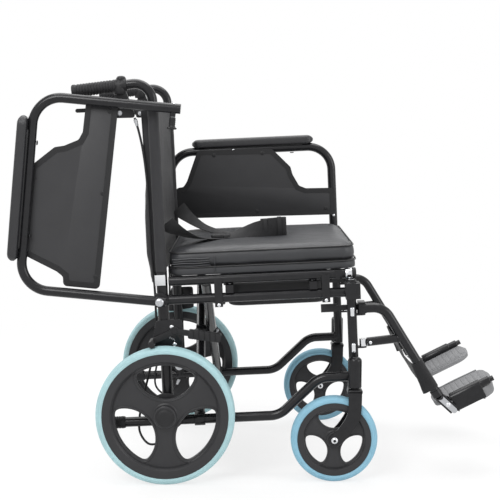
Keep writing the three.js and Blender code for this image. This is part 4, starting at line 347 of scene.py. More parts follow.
BLACK = mottled("gloss_black_steel", (0.008, 0.008, 0.009), 0.2, shade=(60, 4, 0.6, 0.8, 2.0),
                wear=(25, 3, 0.16, 0.3), bump=(900, 2, 0.00004), coat=0.06, level=0.26)
PLASTIC = mottled("black_plastic", (0.012, 0.012, 0.013), 0.45, shade=(40, 3, 0.8, 1.5),
                  wear=(90, 3, 0.38, 0.56), bump=(2200, 2, 0.00003), level=0.3)
RUBBER = mottled("black_rubber", (0.011, 0.011, 0.012), 0.62, shade=(55, 4, 0.8, 1.9),
                 wear=(70, 3, 0.5, 0.72), bump=(1500, 3, 0.00005), level=0.3)
CHROME = mottled("chrome", (0.72, 0.73, 0.75), 0.12, shade=(30, 3, 0.9, 1.05), wear=(120, 4, 0.06, 0.24),
                 metal=1.0)
LABEL = mottled("blank_label", (0.62, 0.63, 0.64), 0.4, shade=(200, 2, 0.94, 1.03), wear=(90, 2, 0.34, 0.48))
ZINC = zinc()
CUSHION_VINYL = vinyl("black_vinyl", (0.028, 0.029, 0.032), 1400.0, (0.36, 0.52))
PAD_VINYL = vinyl("pad_vinyl", (0.018, 0.018, 0.02), 1700.0, (0.3, 0.46))
PIPING = vinyl("piping_vinyl", (0.014, 0.014, 0.015), 2200.0, (0.3, 0.42))
BACK_CLOTH = woven("back_cloth", (0.024, 0.024, 0.026), 0.0011)
STRAP_CLOTH = woven("strap_cloth", (0.009, 0.009, 0.01), 0.0014)
WEBBING = webbing("webbing", (0.012, 0.012, 0.013))
PANEL = moulded("grey_panel", (0.034, 0.034, 0.036), 0.5)
HEM = moulded("panel_hem", (0.015, 0.015, 0.016), 0.55)
FOOT_GREY = moulded("grey_footplate", (0.2, 0.202, 0.208), 0.5)
RIM = moulded("charcoal_rim", (0.028, 0.028, 0.03), 0.42)
THREAD = moulded("thread", (0.03, 0.03, 0.032), 0.7)
TEAL = tyre_rubber("teal_tyre", (0.38, 0.58, 0.61))
BLUE = tyre_rubber("blue_tyre", (0.24, 0.47, 0.6))


def fitted(shape, body, slot, replaces=()):
    """Ties a piece to its body, and takes the place of the nodes that it stands for. Its slot is not used."""
    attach(shape, body)
    if replaces:
        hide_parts(*replaces)
    return shape


def squash_with_fold(pieces):
    """Gives each soft piece its own copy of its mesh."""
    for piece in pieces:
        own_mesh(piece)


def spread(low, high, steps):
    """Even numbers from low to high, both included."""
    return [low + (high - low) * i / steps for i in range(steps + 1)]


def turns(count):
    """Even angles once round, from 0."""
    return [2 * math.pi * j / count for j in range(count)]


def circle(middle, side, up, radius, count):
    """Points evenly round a circle that two directions span."""
    return [middle + (side * math.cos(a) + up * math.sin(a)) * radius for a in turns(count)]


def neighbours(line, closed=False):
    """Each point between the ones before and after it. An open line's ends are their own neighbours."""
    first, last = (line[-1:], line[:1]) if closed else (line[:1], line[-1:])
    return zip(first + line, line, line[1:] + last)


def lengths_along(points):
    """How far each point lies from the first one along their line."""
    return list(accumulate(((b - a).length for a, b in zip(points, points[1:])), initial=0.0))


def ribs(count, start, pitch, shape):
    """Repeats a piece of a turned profile, given as (distance from its own start, radius)."""
    return [(start + i * pitch + s, r) for i in range(count) for s, r in shape]


def both_sides(profile):
    """A section and its mirror image across the wheel's middle."""
    return profile + [(r, -y) for r, y in reversed(profile)]


def clamped(value):
    return max(0.0, min(1.0, value))


class Maker:
    """Gathers a piece's forms in millimetres of its own place, then makes one object in the chair's frame.

    With a side given, the width runs outward on that side, and names get the side in front of them.
    """

    def __init__(self, side="", place=FRAME):
        self.prefix = f"{side}_" if side else ""
        self.place = place @ Matrix.Diagonal((1, SIDES.get(side, 1), 1, 1))
        self.mesh = bmesh.new()
        self.uv = self.mesh.loops.layers.uv.new("UVMap")

    def corners(self, points):
        return [self.mesh.verts.new(p) for p in points]

    def wall(self, ring, after):
        """Faces between two closed rings of corners."""
        for j in range(len(ring)):
            k = (j + 1) % len(ring)
            self.mesh.faces.new((ring[j], ring[k], after[k], after[j]))

    def ring_skin(self, rings, uvs=None):
        """Joins rings of equal count into a skin with flat ends."""
        made = [self.corners(ring) for ring in rings]
        count = len(rings[0])
        for i in range(len(made) - 1):
            for j in range(count):
                k = (j + 1) % count
                face = self.mesh.faces.new((made[i][j], made[i][k], made[i + 1][k], made[i + 1][j]))
                if uvs:
                    for loop, row, column in zip(face.loops, (i, i, i + 1, i + 1), (j, j + 1, j + 1, j)):
                        loop[self.uv].uv = uvs(row, column)
        self.mesh.faces.new(list(reversed(made[0])))
        self.mesh.faces.new(made[-1])
        return self

    def loop_skin(self, rings):
        """Joins rings into a skin that closes on itself."""
        made = [self.corners(ring) for ring in rings]
        for ring, after in zip(made, made[1:] + made[:1]):
            self.wall(ring, after)
        return self

    def sweep(self, path, radius, sides=24, squash=1.0):
        """A round bar along a line of points, with flat ends. The radius may change."""
        points = [Vector(p) for p in path]
        radii = radius if isinstance(radius, list) else [radius] * len(points)
        tangents = [(after - before).normalized() for before, _, after in neighbours(points)]
        side = tangents[0].orthogonal().normalized()
        rings = []
        for point, tangent, r in zip(points, tangents, radii):
            side = (side - tangent * side.dot(tangent)).normalized()
            rings.append(circle(point, side, tangent.cross(side) * squash, r, sides))
        length = lengths_along(points)
        around = 2 * math.pi * max(radii) * MM
        return self.ring_skin(rings, lambda i, j: (length[i] * MM, around * j / sides))

    def rod(self, start, end, radius, round_off=0.0):
        """A straight bar whose end edges are rounded by round_off."""
        start, end = Vector(start), Vector(end)
        if not round_off:
            return self.sweep([start, end], radius)
        length = (end - start).length
        stops = [(round_off * s, radius - round_off * r) for s, r in ((0, 1), (0.3, 0.3), (1, 0))]
        stops += [(length - s, r) for s, r in reversed(stops)]
        return self.spun(start, end - start, stops, 24)

    def spun(self, centre, axis, stops, sides=48):
        """A turned form: stops are (distance along the axis, radius)."""
        centre, axis = Vector(centre), Vector(axis).normalized()
        side = axis.orthogonal().normalized()
        up = axis.cross(side)
        return self.ring_skin([circle(centre + axis * s, side, up, max(r, 0.01), sides) for s, r in stops])

    def hoop(self, profile, sides):
        """A closed ring round the Y axis: the profile's points are (radius, y)."""
        rings = []
        for angle in turns(sides):
            way = Vector((math.cos(angle), 0, math.sin(angle)))
            rings.append([way * r + Y * y for r, y in profile])
        return self.loop_skin(rings)

    def bead(self, loop, radius, sides=10, up=Y):
        """A closed bead along a closed line that lies square to the direction up."""
        rings = []
        for before, point, after in neighbours(loop, closed=True):
            side = (after - before).normalized().cross(up).normalized()
            rings.append(circle(point, side, up, radius, sides))
        return self.loop_skin(rings)

    def ease(self, edges, round_off, steps):
        bmesh.ops.bevel(self.mesh, geom=edges, offset=round_off, segments=steps, profile=0.5, affect="EDGES")

    def block(self, low, high, round_off=0.0, steps=2):
        low, high = Vector(low), Vector(high)
        made = bmesh.ops.create_cube(self.mesh, size=1.0)["verts"]
        for vert in made:
            vert.co = Vector(((vert.co[i] + 0.5) * (high[i] - low[i]) + low[i] for i in range(3)))
        if round_off:
            edges = dict.fromkeys(edge for vert in made for edge in vert.link_edges)
            self.ease(list(edges), round_off, steps)
        return self

    def slab(self, outline, low, high, round_off, steps=2, axis=1):
        """A flat plate: its outline in two directions, and its thickness along the third."""
        def level(w):
            return self.corners([{0: (w, u, v), 1: (u, w, v)}[axis] for u, v in outline])
        bottom, top = level(low), level(high)
        ends = [self.mesh.faces.new(list(reversed(bottom))), self.mesh.faces.new(top)]
        self.wall(bottom, top)
        self.ease([edge for face in ends for edge in face.edges], round_off, steps)
        return self

    def screw(self, centre, axis, radius, height):
        """A bolt's domed head with a hexagon socket in it."""
        return self.spun(centre, axis, [
            (0, radius), (height * 0.55, radius), (height * 0.9, radius * 0.8), (height, radius * 0.55),
            (height, radius * 0.42), (height * 0.4, radius * 0.4), (height * 0.4, 0),
        ], 24)

    def hex_head(self, centre, axis, across, height):
        """A hexagon head with its corners turned off, on a washer."""
        centre, axis = Vector(centre), Vector(axis).normalized()
        self.spun(centre, axis, [(0, across * 0.78), (height * 0.22, across * 0.78)], 32)
        return self.spun(centre, axis, [
            (height * 0.2, across * 0.56), (height * 0.85, across * 0.56), (height, across * 0.47),
        ], 6)

    def weld(self, point, axis, radius, width=2.6, rise=1.5):
        """A bead of weld round a tube."""
        return self.spun(point, axis, [
            (-width, radius - 0.6), (-width * 0.6, radius + rise * 0.7), (0, radius + rise),
            (width * 0.6, radius + rise * 0.7), (width, radius - 0.6),
        ], 32)

    def finish(self, name, body, look, replaces=(), crease=35.0, slot=None):
        """Makes the object, in metres of the chair's frame, and ties it to its body."""
        bmesh.ops.remove_doubles(self.mesh, verts=self.mesh.verts, dist=0.0005)
        self.mesh.transform(self.place)
        bmesh.ops.recalc_face_normals(self.mesh, faces=self.mesh.faces)
        data = bpy.data.meshes.new(self.prefix + name)
        self.mesh.to_mesh(data)
        self.mesh.free()
        data.materials.append(look)
        shape = placed(self.prefix + name, data)
        soften(shape, crease)
        return fitted(shape, self.prefix + body, slot or slot_of[look.name],
                      [self.prefix + node for node in replaces])


def soften(shape, crease):
    """Smooth shading, with edges sharper than the crease kept sharp."""
    shape.data.polygons.foreach_set("use_smooth", [True] * len(shape.data.polygons))
    shape.data.set_sharp_from_angle(angle=math.radians(crease))


def apply_all(shape):
    """Applies a piece's modifiers to its mesh."""
    evaluated = shape.evaluated_get(bpy.context.evaluated_depsgraph_get())
    data = bpy.data.meshes.new_from_object(evaluated)
    shape.modifiers.clear()
    shape.data = data


def smoother(shape):
    """Subdivides a piece once and keeps the result as its mesh."""
    ease = shape.modifiers.new("smooth", "SUBSURF")
    ease.levels = 1
    ease.render_levels = 1
    apply_all(shape)
    soften(shape, 60)


def corner_arc(before, corner, after, bend, most, steps):
    """An arc of the bend's radius at a corner. It takes at most a share of the length to either neighbour."""
    back, ahead = before - corner, after - corner
    half = back.angle(ahead) / 2
    reach = min(bend / math.tan(half), back.length * most, ahead.length * most)
    radius = reach * math.tan(half)
    back.normalize()
    ahead.normalize()
    centre = corner + (back + ahead).normalized() * radius / math.sin(half)
    first, last = corner + back * reach - centre, corner + ahead * reach - centre
    axis = first.cross(last).normalized()
    return [centre + Matrix.Rotation(a, 3, axis) @ first for a in spread(0, first.angle(last), steps)]


def rounded_line(corners, bend, steps=10):
    """A line through corners, with a round arc of the bend's radius at each inner one."""
    corners = [Vector(c) for c in corners]
    points = [corners[0]]
    for before, corner, after in zip(corners, corners[1:], corners[2:]):
        points += corner_arc(before, corner, after, bend, 0.499, steps)
    return points + corners[-1:]


def rounded_outline(corners, bend, steps):
    """A closed flat outline with an arc at each corner."""
    points = [Vector((u, v, 0)) for u, v in corners]
    line = []
    for before, corner, after in neighbours(points, closed=True):
        line += [p.xy for p in corner_arc(before, corner, after, bend, 0.45, steps)]
    return line


def smooth_line(controls, per_span):
    """A Catmull-Rom line through points."""
    points = [Vector(c) for c in controls]
    points = [points[0] * 2 - points[1], *points, points[-1] * 2 - points[-2]]
    line = []
    for a, b, c, d in zip(points, points[1:], points[2:], points[3:]):
        for i in range(per_span):
            t = i / per_span
            line.append(0.5 * (2 * b + (c - a) * t + (2 * a - 5 * b + 4 * c - d) * t * t
                               + (3 * b - a - 3 * c + d) * t ** 3))
    line.append(points[-2])
    return line


def within_bars(point, bars):
    """True where a point lies on or inside one of the round bars given as (line, radius)."""
    for line, radius in bars:
        for a, b in zip(line, line[1:]):
            along = b - a
            t = clamped((point - a).dot(along) / along.length_squared)
            if (point - a - along * t).length < radius:
                return True
    return False


# How CAD forms are cleaned: corners this near (in metres) are one, and so are faces this flat to each other.
# Facets up to BESIDE_TUBE outside a tube go with it, and edges sharper than SHARP are eased.
SAME_CORNER = 0.00001
FLAT = math.radians(1.5)
BESIDE_TUBE = 0.3
SHARP = math.radians(40)


def refined(node, name, look, bars=(), bevel=0.5, side="", place=FRAME, slot=None):
    """A CAD node's form with eased edges, its faceted tubes swapped for smooth ones."""
    maker = Maker(side, place)
    node, name = maker.prefix + node, maker.prefix + name
    work = bmesh.new()
    work.from_mesh(frame["nodes"][node].data)
    bmesh.ops.remove_doubles(work, verts=work.verts, dist=SAME_CORNER)
    if bars:
        back = maker.place.inverted()
        skins = [([Vector(p) for p in line], radius + BESIDE_TUBE) for line, radius in bars]
        inside = {v: within_bars(back @ v.co, skins) for v in work.verts}
        gone = [f for f in work.faces if all(inside[v] for v in f.verts)]
        bmesh.ops.delete(work, geom=gone, context="FACES")
    bmesh.ops.dissolve_limit(work, angle_limit=FLAT, verts=work.verts, edges=work.edges)
    data = bpy.data.meshes.new(name)
    work.to_mesh(data)
    work.free()
    shape = placed(name, data)
    ease = shape.modifiers.new("ease", "BEVEL")
    ease.width = bevel * MM
    ease.segments = 2
    ease.limit_method = "ANGLE"
    ease.angle_limit = SHARP
    ease.use_clamp_overlap = True
    apply_all(shape)
    if bars:
        for line, radius in bars:
            maker.sweep(line, radius + TUBE_SKIN)
        maker.mesh.transform(maker.place)
        bmesh.ops.recalc_face_normals(maker.mesh, faces=maker.mesh.faces)
        maker.mesh.from_mesh(shape.data)
        maker.mesh.to_mesh(shape.data)
    maker.mesh.free()
    shape.data.materials.clear()
    shape.data.materials.append(look)
    soften(shape, 38)
    return fitted(shape, frame["nodes"][node]["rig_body"], slot or slot_of[look.name], [node])


def stitch_tree(name):
    """Geometry Nodes that put one short thread at each step of a line."""
    tree = bpy.data.node_groups.new(name, "GeometryNodeTree")
    sizes = ("Pitch", "Stitch Length", "Thread Radius")
    for label, kind in (("Line", "Geometry"), *((size, "Float") for size in sizes), ("Thread", "Material")):
        tree.interface.new_socket(label, in_out="INPUT", socket_type=f"NodeSocket{kind}")
    tree.interface.new_socket("Stitches", in_out="OUTPUT", socket_type="NodeSocketGeometry")
    add = tree.nodes.new
    source, result = add("NodeGroupInput"), add("NodeGroupOutput")
    curve = add("GeometryNodeMeshToCurve")
    steps = add("GeometryNodeResampleCurve")
    steps.mode = "LENGTH"
    spots = add("GeometryNodeCurveToPoints")
    spots.mode = "EVALUATED"
    thread = add("GeometryNodeMeshCylinder")
    thread.inputs["Vertices"].default_value = 6
    thread.inputs["Side Segments"].default_value = 1
    place = add("GeometryNodeInstanceOnPoints")
    real = add("GeometryNodeRealizeInstances")
    paint = add("GeometryNodeSetMaterial")
    for start, output, end, socket in (
        (source, "Line", curve, 0), (curve, 0, steps, "Curve"), (source, "Pitch", steps, "Length"),
        (steps, 0, spots, "Curve"), (source, "Thread Radius", thread, "Radius"),
        (source, "Stitch Length", thread, "Depth"), (spots, "Points", place, "Points"),
        (spots, "Rotation", place, "Rotation"), (thread, "Mesh", place, "Instance"), (place, 0, real, 0),
        (real, 0, paint, "Geometry"), (source, "Thread", paint, "Material"), (paint, 0, result, 0),
    ):
        tree.links.new(start.outputs[output], end.inputs[socket])
    return tree


STITCHES = stitch_tree("stitches_along_a_line")


def stitch_line(name, body, slot, points, gauge, closed=False, side="", place=FRAME):
    """Stitches along a line of points. The gauge is their pitch, length and radius in millimetres."""
    maker = Maker(side, place)
    maker.mesh.free()
    spots = [maker.place @ p for p in points]
    edges = [(i, i + 1) for i in range(len(spots) - 1)]
    if closed:
        edges.append((len(spots) - 1, 0))
    data = bpy.data.meshes.new(maker.prefix + name)
    data.from_pydata(spots, edges, [])
    shape = placed(maker.prefix + name, data)
    modifier = shape.modifiers.new("stitches", "NODES")
    modifier.node_group = STITCHES
    pitch, length, radius = (size * MM for size in gauge)
    values = {"Pitch": pitch, "Stitch Length": length, "Thread Radius": radius, "Thread": THREAD}
    for socket in STITCHES.interface.items_tree:
        if socket.name in values:
            modifier[socket.identifier] = values[socket.name]
    apply_all(shape)
    soften(shape, 60)
    return fitted(shape, maker.prefix + body, slot)


def hinged(side, x, y, z, tilt=0.0):
    """The place of a part that hangs on the side frame: its own origin and its turn about the width."""
    return FRAME @ Matrix.Translation((x, SIDES[side] * y, z)) @ Matrix.Rotation(-tilt, 4, "Y")


def wheel_place(side, x, y, z=0):
    return LEVEL @ Matrix.Translation((x, SIDES[side] * y, z))


def side_frame(side):
    foot = rounded_line([(TIP, SIDE_Y, BOTTOM_RAIL), (258, SIDE_Y, BOTTOM_RAIL), (354, SIDE_Y, STAY),
                         (POST, SIDE_Y, STAY)], 55)
    bars = [
        ([(UPRIGHT, SIDE_Y, BOTTOM_RAIL), (UPRIGHT, SIDE_Y, 320)], STOUT_TUBE),
        ([(UPRIGHT, SIDE_Y, ARM_RAIL), (POST, SIDE_Y, ARM_RAIL)], TUBE),
        ([(POST, SIDE_Y, 44), (POST, SIDE_Y, POST_TOP)], TUBE),
        ([(POST, SIDE_Y, POST_TOP - 37), (POST, SIDE_Y, POST_TOP)], STOUT_TUBE),
        (foot, TUBE),
    ]
    refined("side_frame", "frame_tubes", BLACK, bars, 0.8, side)
    maker = Maker(side)
    front_weld = POST - STOUT_TUBE
    for x, z in ((17, ARM_RAIL), (front_weld, ARM_RAIL), (front_weld, STAY)):
        maker.weld((x, SIDE_Y, z), X, TUBE)
    maker.weld((UPRIGHT, SIDE_Y, -13), Z, STOUT_TUBE)
    for x in (UPRIGHT + STOUT_TUBE, UPRIGHT - STOUT_TUBE):
        maker.weld((x, SIDE_Y, BOTTOM_RAIL), X, TUBE)
    maker.weld((POST, SIDE_Y, POST_TOP - 37), Z, TUBE, 1.8, 1.2)
    maker.finish("frame_welds", "frame", BLACK)
    Maker(side, wheel_place(side, CASTER_STEM, CASTER_Y)).spun((0, 0, 60.4), Z, [
        (0, 12), (0, 15.2), (0.8, 15.8), (60.6, 15.8), (63.2, 15.3), (65.7, 13.8), (67.8, 11.2), (69, 7.8),
        (69.6, 4), (69.7, 0),
    ]).finish("stem_housing", "frame", BLACK)
    maker = Maker(side)
    for x in (132, 376):
        maker.screw((x, SIDE_Y + 16.1, 241), Y, 4.0, 2.4)
    # Oblong clamp pieces on the post, where the legrest hooks on
    for z in (211, 128):
        maker.block((429, SIDE_Y + 10.4, z - 11), (439, SIDE_Y + 14.6, z + 11), 3.4, 3)
    for x, z in ((22, 196), (27, 156), (-24, 160)):
        maker.screw((x, SIDE_Y + 15.5, z), Y, 4.4, 2.6)
    maker.finish("frame_bolts", "frame", CHROME)
    Maker(side).spun((0, ARM_Y + TUBE + 4.1, ARM_PIVOT), Y, [
        (0, 9.2), (1.5, 9.2), (3, 7.6), (3.6, 4.6), (2.4, 4.2), (2.4, 0),
    ], 32).finish("hinge_bolt", "frame", ZINC)
    if side == "right":
        # The white patch on the near upright, left blank
        Maker(side).block((-11, SIDE_Y + 11.6, 291), (13, SIDE_Y + 13.1, 315), 0.6).finish(
            "blank_plate", "frame", LABEL)


def cane(side):
    (bend_x, bend_z), (end_x, end_z) = CANE_BEND, CANE_END
    line = rounded_line([(UPRIGHT, SIDE_Y, 290.1), (bend_x, SIDE_Y, bend_z), (end_x, SIDE_Y, end_z)], 40, 14)
    collar = [(0, 11.4), (0, 12.9), (2.6, 12.9), (3.4, 11.6), (3.4, 11.2)]
    maker = Maker(side).sweep(line, TUBE + 0.02, 32).spun((UPRIGHT, SIDE_Y, 320.1), Z, collar, 32)
    maker.finish("back_tube", "frame", BLACK, ["back_cane"])


def grip(side):
    """A soft sleeve with finger rings, a flared collar and a domed end."""
    (bend_x, bend_z), (end_x, end_z) = CANE_BEND, CANE_END
    along = Vector((end_x - bend_x, 0, end_z - bend_z)).normalized()
    finger = [(0, 13.3), (1.1, 14.3), (2.2, 14.45), (3.6, 14.45), (4.7, 14.2), (5.6, 13.2)]
    stops = [(0, 11.2), (0, 13.9), (1.2, 14.5), (5, 14.5), (6.2, 13.6), *ribs(12, 9, 6.6, finger)]
    stops += [(90, 13.4), (91.5, 14.4), (96, 14.5), (98.4, 13.6), (99.6, 11.2), (99.95, 6), (99.95, 0)]
    maker = Maker(side).spun(Vector((end_x, SIDE_Y, end_z)) - along * 96, along, stops, 40)
    maker.finish("grip_sleeve", "frame", RUBBER, ["push_grip"])


def brake(side):
    refined("brake_clamp", "clamp_body", PLASTIC, bevel=1.4, side=side)
    refined("brake_lever", "lever_blade", PLASTIC, bevel=1.6, side=side)
    maker = Maker(side)
    bolt_x, bolt_z = -70.02, 684.76
    for out in (1, -1):
        maker.hex_head((bolt_x, SIDE_Y + out * 8, bolt_z), Y * out, 7, 3.6)
    maker.finish("clamp_bolts", "frame", ZINC)
    Maker(side).spun((-68, SIDE_Y, 726), Z, [
        (0, 11), (0, 13), (2, 14), (15, 14.8), (24, 14.2), (29, 12.6), (33, 9.6), (35.6, 6), (36.8, 2.6),
        (37, 0),
    ], 40).finish("clamp_dome", "frame", PLASTIC)


CABLE_LINE = [
    (-38.02, 235, 672.76), (-30, 235, 640), (-23, 235, 596), (-18.5, 235, 540), (-17.5, 235, 480),
    (-17.5, 235, 360), (-14, 233, 300), (-14, 226, 240), (-18, 217, 180), (-34, 217, 100), (-54, 217, 30),
    (-66, 218, -20), (-66, 224, -52), (-50, 234, -75), (-30, 244, -76), (-14, 250, -62), (-5.2, 252, -44.3),
]


def brake_cable(side):
    line = smooth_line(CABLE_LINE, 6)
    maker = Maker(side).sweep(line, 2.6, 16)
    path = [maker.place @ p for p in line]
    shape = maker.finish("cable_casing", "frame", RUBBER, ["brake_cable"])
    ends = Maker(side)
    for a, b in ((line[1], line[3]), (line[-1], line[-4])):
        out = (b - a).normalized()
        ends.spun(a - out * 1.5, out, [(0, 3.0), (0, 4.3), (7, 4.3), (9, 3.6), (14, 3.5), (15, 2.9)], 24)
    ferrules = ends.finish("cable_ends", "frame", ZINC)
    tuple(path[0])
    lengths_along(path)[-1]
    [tuple(p) for p in path]


def tip_cap(side):
    groove = [(0, 13.9), (0.8, 13.1), (1.6, 13.1), (2.4, 13.9)]
    stops = [(-6, 0), (-6, 8.5), (-5.2, 11), (-3.2, 13), (0, 13.9), *ribs(4, 3, 5.6, groove)]
    stops += [(27, 13.9), (30.5, 13.2), (31.8, 12.3), (31.8, 11.2)]
    cap = Maker(side).spun((TIP, SIDE_Y, BOTTOM_RAIL), X, stops, 40)
    cap.finish("tip_rubber", "frame", RUBBER, ["tip_cap"])


def post_plug(side):
    body = [(0, 12.4), (0.8, 12.5), (7, 12.5), (8, 11.5), (8, 8.6)]
    plug = Maker(side).spun((POST, SIDE_Y, POST_TOP + 0.1), Z, body, 40)
    plug.finish("plug_body", "frame", PLASTIC, ["post_plug"])
    cap = [(0, 8.5), (1.4, 8.5), (2.3, 7.5), (2.68, 4.5), (2.68, 0)]
    Maker(side).spun((POST, SIDE_Y, POST_TOP + 7.9), Z, cap, 32).finish("plug_cap", "frame", CHROME)


def wheel_lock(side):
    refined("wheel_lock_bracket", "lock_plate", BLACK, side=side, slot="bare_steel")
    refined("wheel_lock_lever", "lock_lever", PLASTIC, bevel=1.0, side=side)
    coils, radius = 6, 2.4
    start, reach = Vector((6, SIDE_Y + 17.9, 178)), Vector((22, 0, -12))
    spring = [
        start + reach * share + (Y * math.cos(turn) + Z * math.sin(turn)) * radius
        for share, turn in ((share, 2 * math.pi * coils * share) for share in spread(0, 1, 96))
    ]
    Maker(side).sweep(spring, 0.6, 6).finish("lock_spring", "frame", ZINC)


def opening_line(offset, radius, limit, turn, count):
    """The part of a round hole that lies inside a limit circle, with its two corners worn round."""
    fine = 720
    points = []
    for a in turns(fine):
        x, z = offset + radius * math.cos(a), radius * math.sin(a)
        if math.hypot(x, z) > limit:
            angle = math.atan2(z, x)
            x, z = limit * math.cos(angle), limit * math.sin(angle)
        points.append(Vector((x, z)))
    lengths = lengths_along(points + points[:1])
    even = []
    spot = 0
    for i in range(count):
        want = lengths[-1] * i / count
        while lengths[spot + 1] < want:
            spot += 1
        part = (want - lengths[spot]) / max(lengths[spot + 1] - lengths[spot], 1e-9)
        even.append(points[spot].lerp(points[(spot + 1) % fine], part))
    for _ in range(5):
        even = [(even[i - 1] + even[i] * 2 + even[(i + 1) % count]) / 4 for i in range(count)]
    turned = Matrix.Rotation(turn, 2)
    return [turned @ p for p in even]


def outward(line, distance):
    """A closed anticlockwise line moved outward by a distance."""
    moved = []
    for before, point, after in neighbours(line, closed=True):
        along = (after - before).normalized()
        moved.append(point + Vector((along.y, -along.x)) * distance)
    return moved


def at_width(line, y):
    """A flat line stood up across the width."""
    return [Vector((p.x, y, p.y)) for p in line]


def web_disc(maker, outer, half, holes, edge):
    """A flat disc with rounded holes through it, across the wheel's axis."""
    rim_line = circle(Vector((0, 0)), Vector((1, 0)), Vector((0, 1)), outer, 144)
    faces = {}
    for level in (half, -half):
        loops = [maker.corners(at_width(rim_line, level))]
        loops += [maker.corners(at_width(outward(hole, edge), level)) for hole in holes]
        edges = [maker.mesh.edges.new(pair) for loop in loops for pair in zip(loop, loop[1:] + loop[:1])]
        bmesh.ops.triangle_fill(maker.mesh, use_beauty=True, edges=edges)
        faces[level] = loops
    top, bottom = faces[half], faces[-half]
    maker.wall(top[0], bottom[0])
    for number, hole in enumerate(holes, 1):
        steps = [(edge * 0.35, half - edge * 0.3), (0, half - edge)]
        steps += [(out, -y) for out, y in reversed(steps)]
        chain = [maker.corners(at_width(outward(hole, out), y)) for out, y in steps]
        chain = [top[number], *chain, bottom[number]]
        for upper, lower in zip(chain, chain[1:]):
            maker.wall(upper, lower)


def wheel_moulding(maker, opening, web, border, barrel, hub):
    """A wheel's web with three openings, a bead round each of them, its barrel and its hub.

    opening: its circle's offset and radius, the circle that limits it, and its count of points
    web: its radius, half its thickness and its edges' rounding
    border: how far outside the opening its bead lies, the bead's radius and its sides
    barrel: a profile and its sides; hub: where it starts along the axle, its stops and its sides
    """
    offset, radius, limit, count = opening
    holes = [opening_line(offset, radius, limit, math.pi / 2 + turn, count) for turn in turns(3)]
    outer, half, edge = web
    web_disc(maker, outer, half, holes, edge)
    reach, bead, sides = border
    for hole in holes:
        for y in (half, -half):
            maker.bead(at_width(outward(hole, reach), y), bead, sides)
    maker.hoop(*barrel)
    start, stops, sides = hub
    return maker.spun(Y * start, Y, stops, sides)


def rear_wheel(side):
    place = wheel_place(side, 0, WHEEL_Y)
    body = "rear_wheel"
    barrel = both_sides([(142.9, 16.9), (129, 17), (125.5, 16.4), (121.8, 12.6), (119.4, 9), (118.9, 5)])
    hub = [(0, 6.2), (0, 23), (1.4, 25), (3, 25.9), (14, 25.9), (16.5, 30), (27.5, 30), (30, 25.9),
           (41, 25.9), (42.8, 25), (43.9, 23.2), (43.9, 20.5)]
    maker = wheel_moulding(Maker(side, place), opening=(107, 70, 115, 72), web=(121, 6, 2.4),
                           border=(4.6, 1.5, 10), barrel=(barrel, 144), hub=(-22, hub, 64))
    maker.finish("wheel_moulding", body, RIM, ["rear_rim"], 32)
    Maker(side, place).spun(Y * 21.5, Y, [
        (0, 21.4), (1.6, 21.4), (2.8, 20.4), (3.2, 18.6), (2.9, 17.6), (3.6, 16.8), (4.4, 10), (4.48, 0),
    ], 64).finish("hub_cap", body, PLASTIC)
    # Two fine grooves round the tread, and a moulding line on each wall
    tread = [(143.1, 16.8), (145.5, 18.2), (147.2, 18.95), (149.5, 19), (150.1, 18.55), (150.7, 18.95),
             (152.4, 18.3), (154.6, 16.4), (156.4, 13.4), (157.1, 10.8), (156.2, 10.2), (156.2, 9.4),
             (157.4, 8.8), (157.5, 4.4), (156.4, 3.9), (156.4, 3.1), (157.5, 2.6)]
    Maker(side, place).hoop(both_sides(tread), 160).finish("wheel_tread", body, TEAL, ["rear_tyre"], 40)
    axle = Maker(side, place)
    axle.spun(Y * -58.5, Y, [(-7, 0), (-7, 8.6), (-6.4, 9.6), (-3, 8.6), (0, 6)], 32)
    axle.spun(Y * -58.6, Y, [(0, 10.9), (1.8, 10.9)], 40)
    axle.spun(Y * -57, Y, [(0, 5.95), (74, 5.95)], 32)
    axle.finish("axle_pin", body, ZINC, ["rear_axle"])
    drum = [(0, 38), (0.9, 42.5), (1.9, 43.8), (5.6, 43.9), (6.4, 42.5), (6.9, 30)]
    Maker(side, place).spun(Y * -31.3, Y, drum, 72).finish("brake_drum", body, RUBBER)


def fork_outline():
    """The fork blade's outline from the side: a bent strip with a round end at the axle."""
    centre = smooth_line([
        (0, 0, 112), (0, 0, 92), (-1, 0, 70), (-6, 0, 49), (-20, 0, 26), (-34, 0, 10), (-CASTER_TRAIL, 0, 0),
    ], 6)
    widths = [15.3, 15, 15, 15, 14.6, 14.2, 13.8]
    front, rear = [], []
    for i, (before, point, after) in enumerate(neighbours(centre)):
        along = (after - before).normalized()
        share = i / (len(centre) - 1) * 6
        low = int(min(share, 5))
        half = widths[low] + (widths[low + 1] - widths[low]) * (share - low)
        across = Vector((along.z, 0, -along.x)) * half
        front.append(point + across)
        rear.append(point - across)
    tail = front[-1] - centre[-1]
    ahead = centre[-1] - centre[-2]
    way = 1 if (Matrix.Rotation(math.pi / 2, 3, "Y") @ tail).dot(ahead) > 0 else -1
    end = [centre[-1] + Matrix.Rotation(way * math.pi * i / 12, 3, "Y") @ tail for i in range(1, 12)]
    return [p.xz for p in front + end + rear[::-1]]


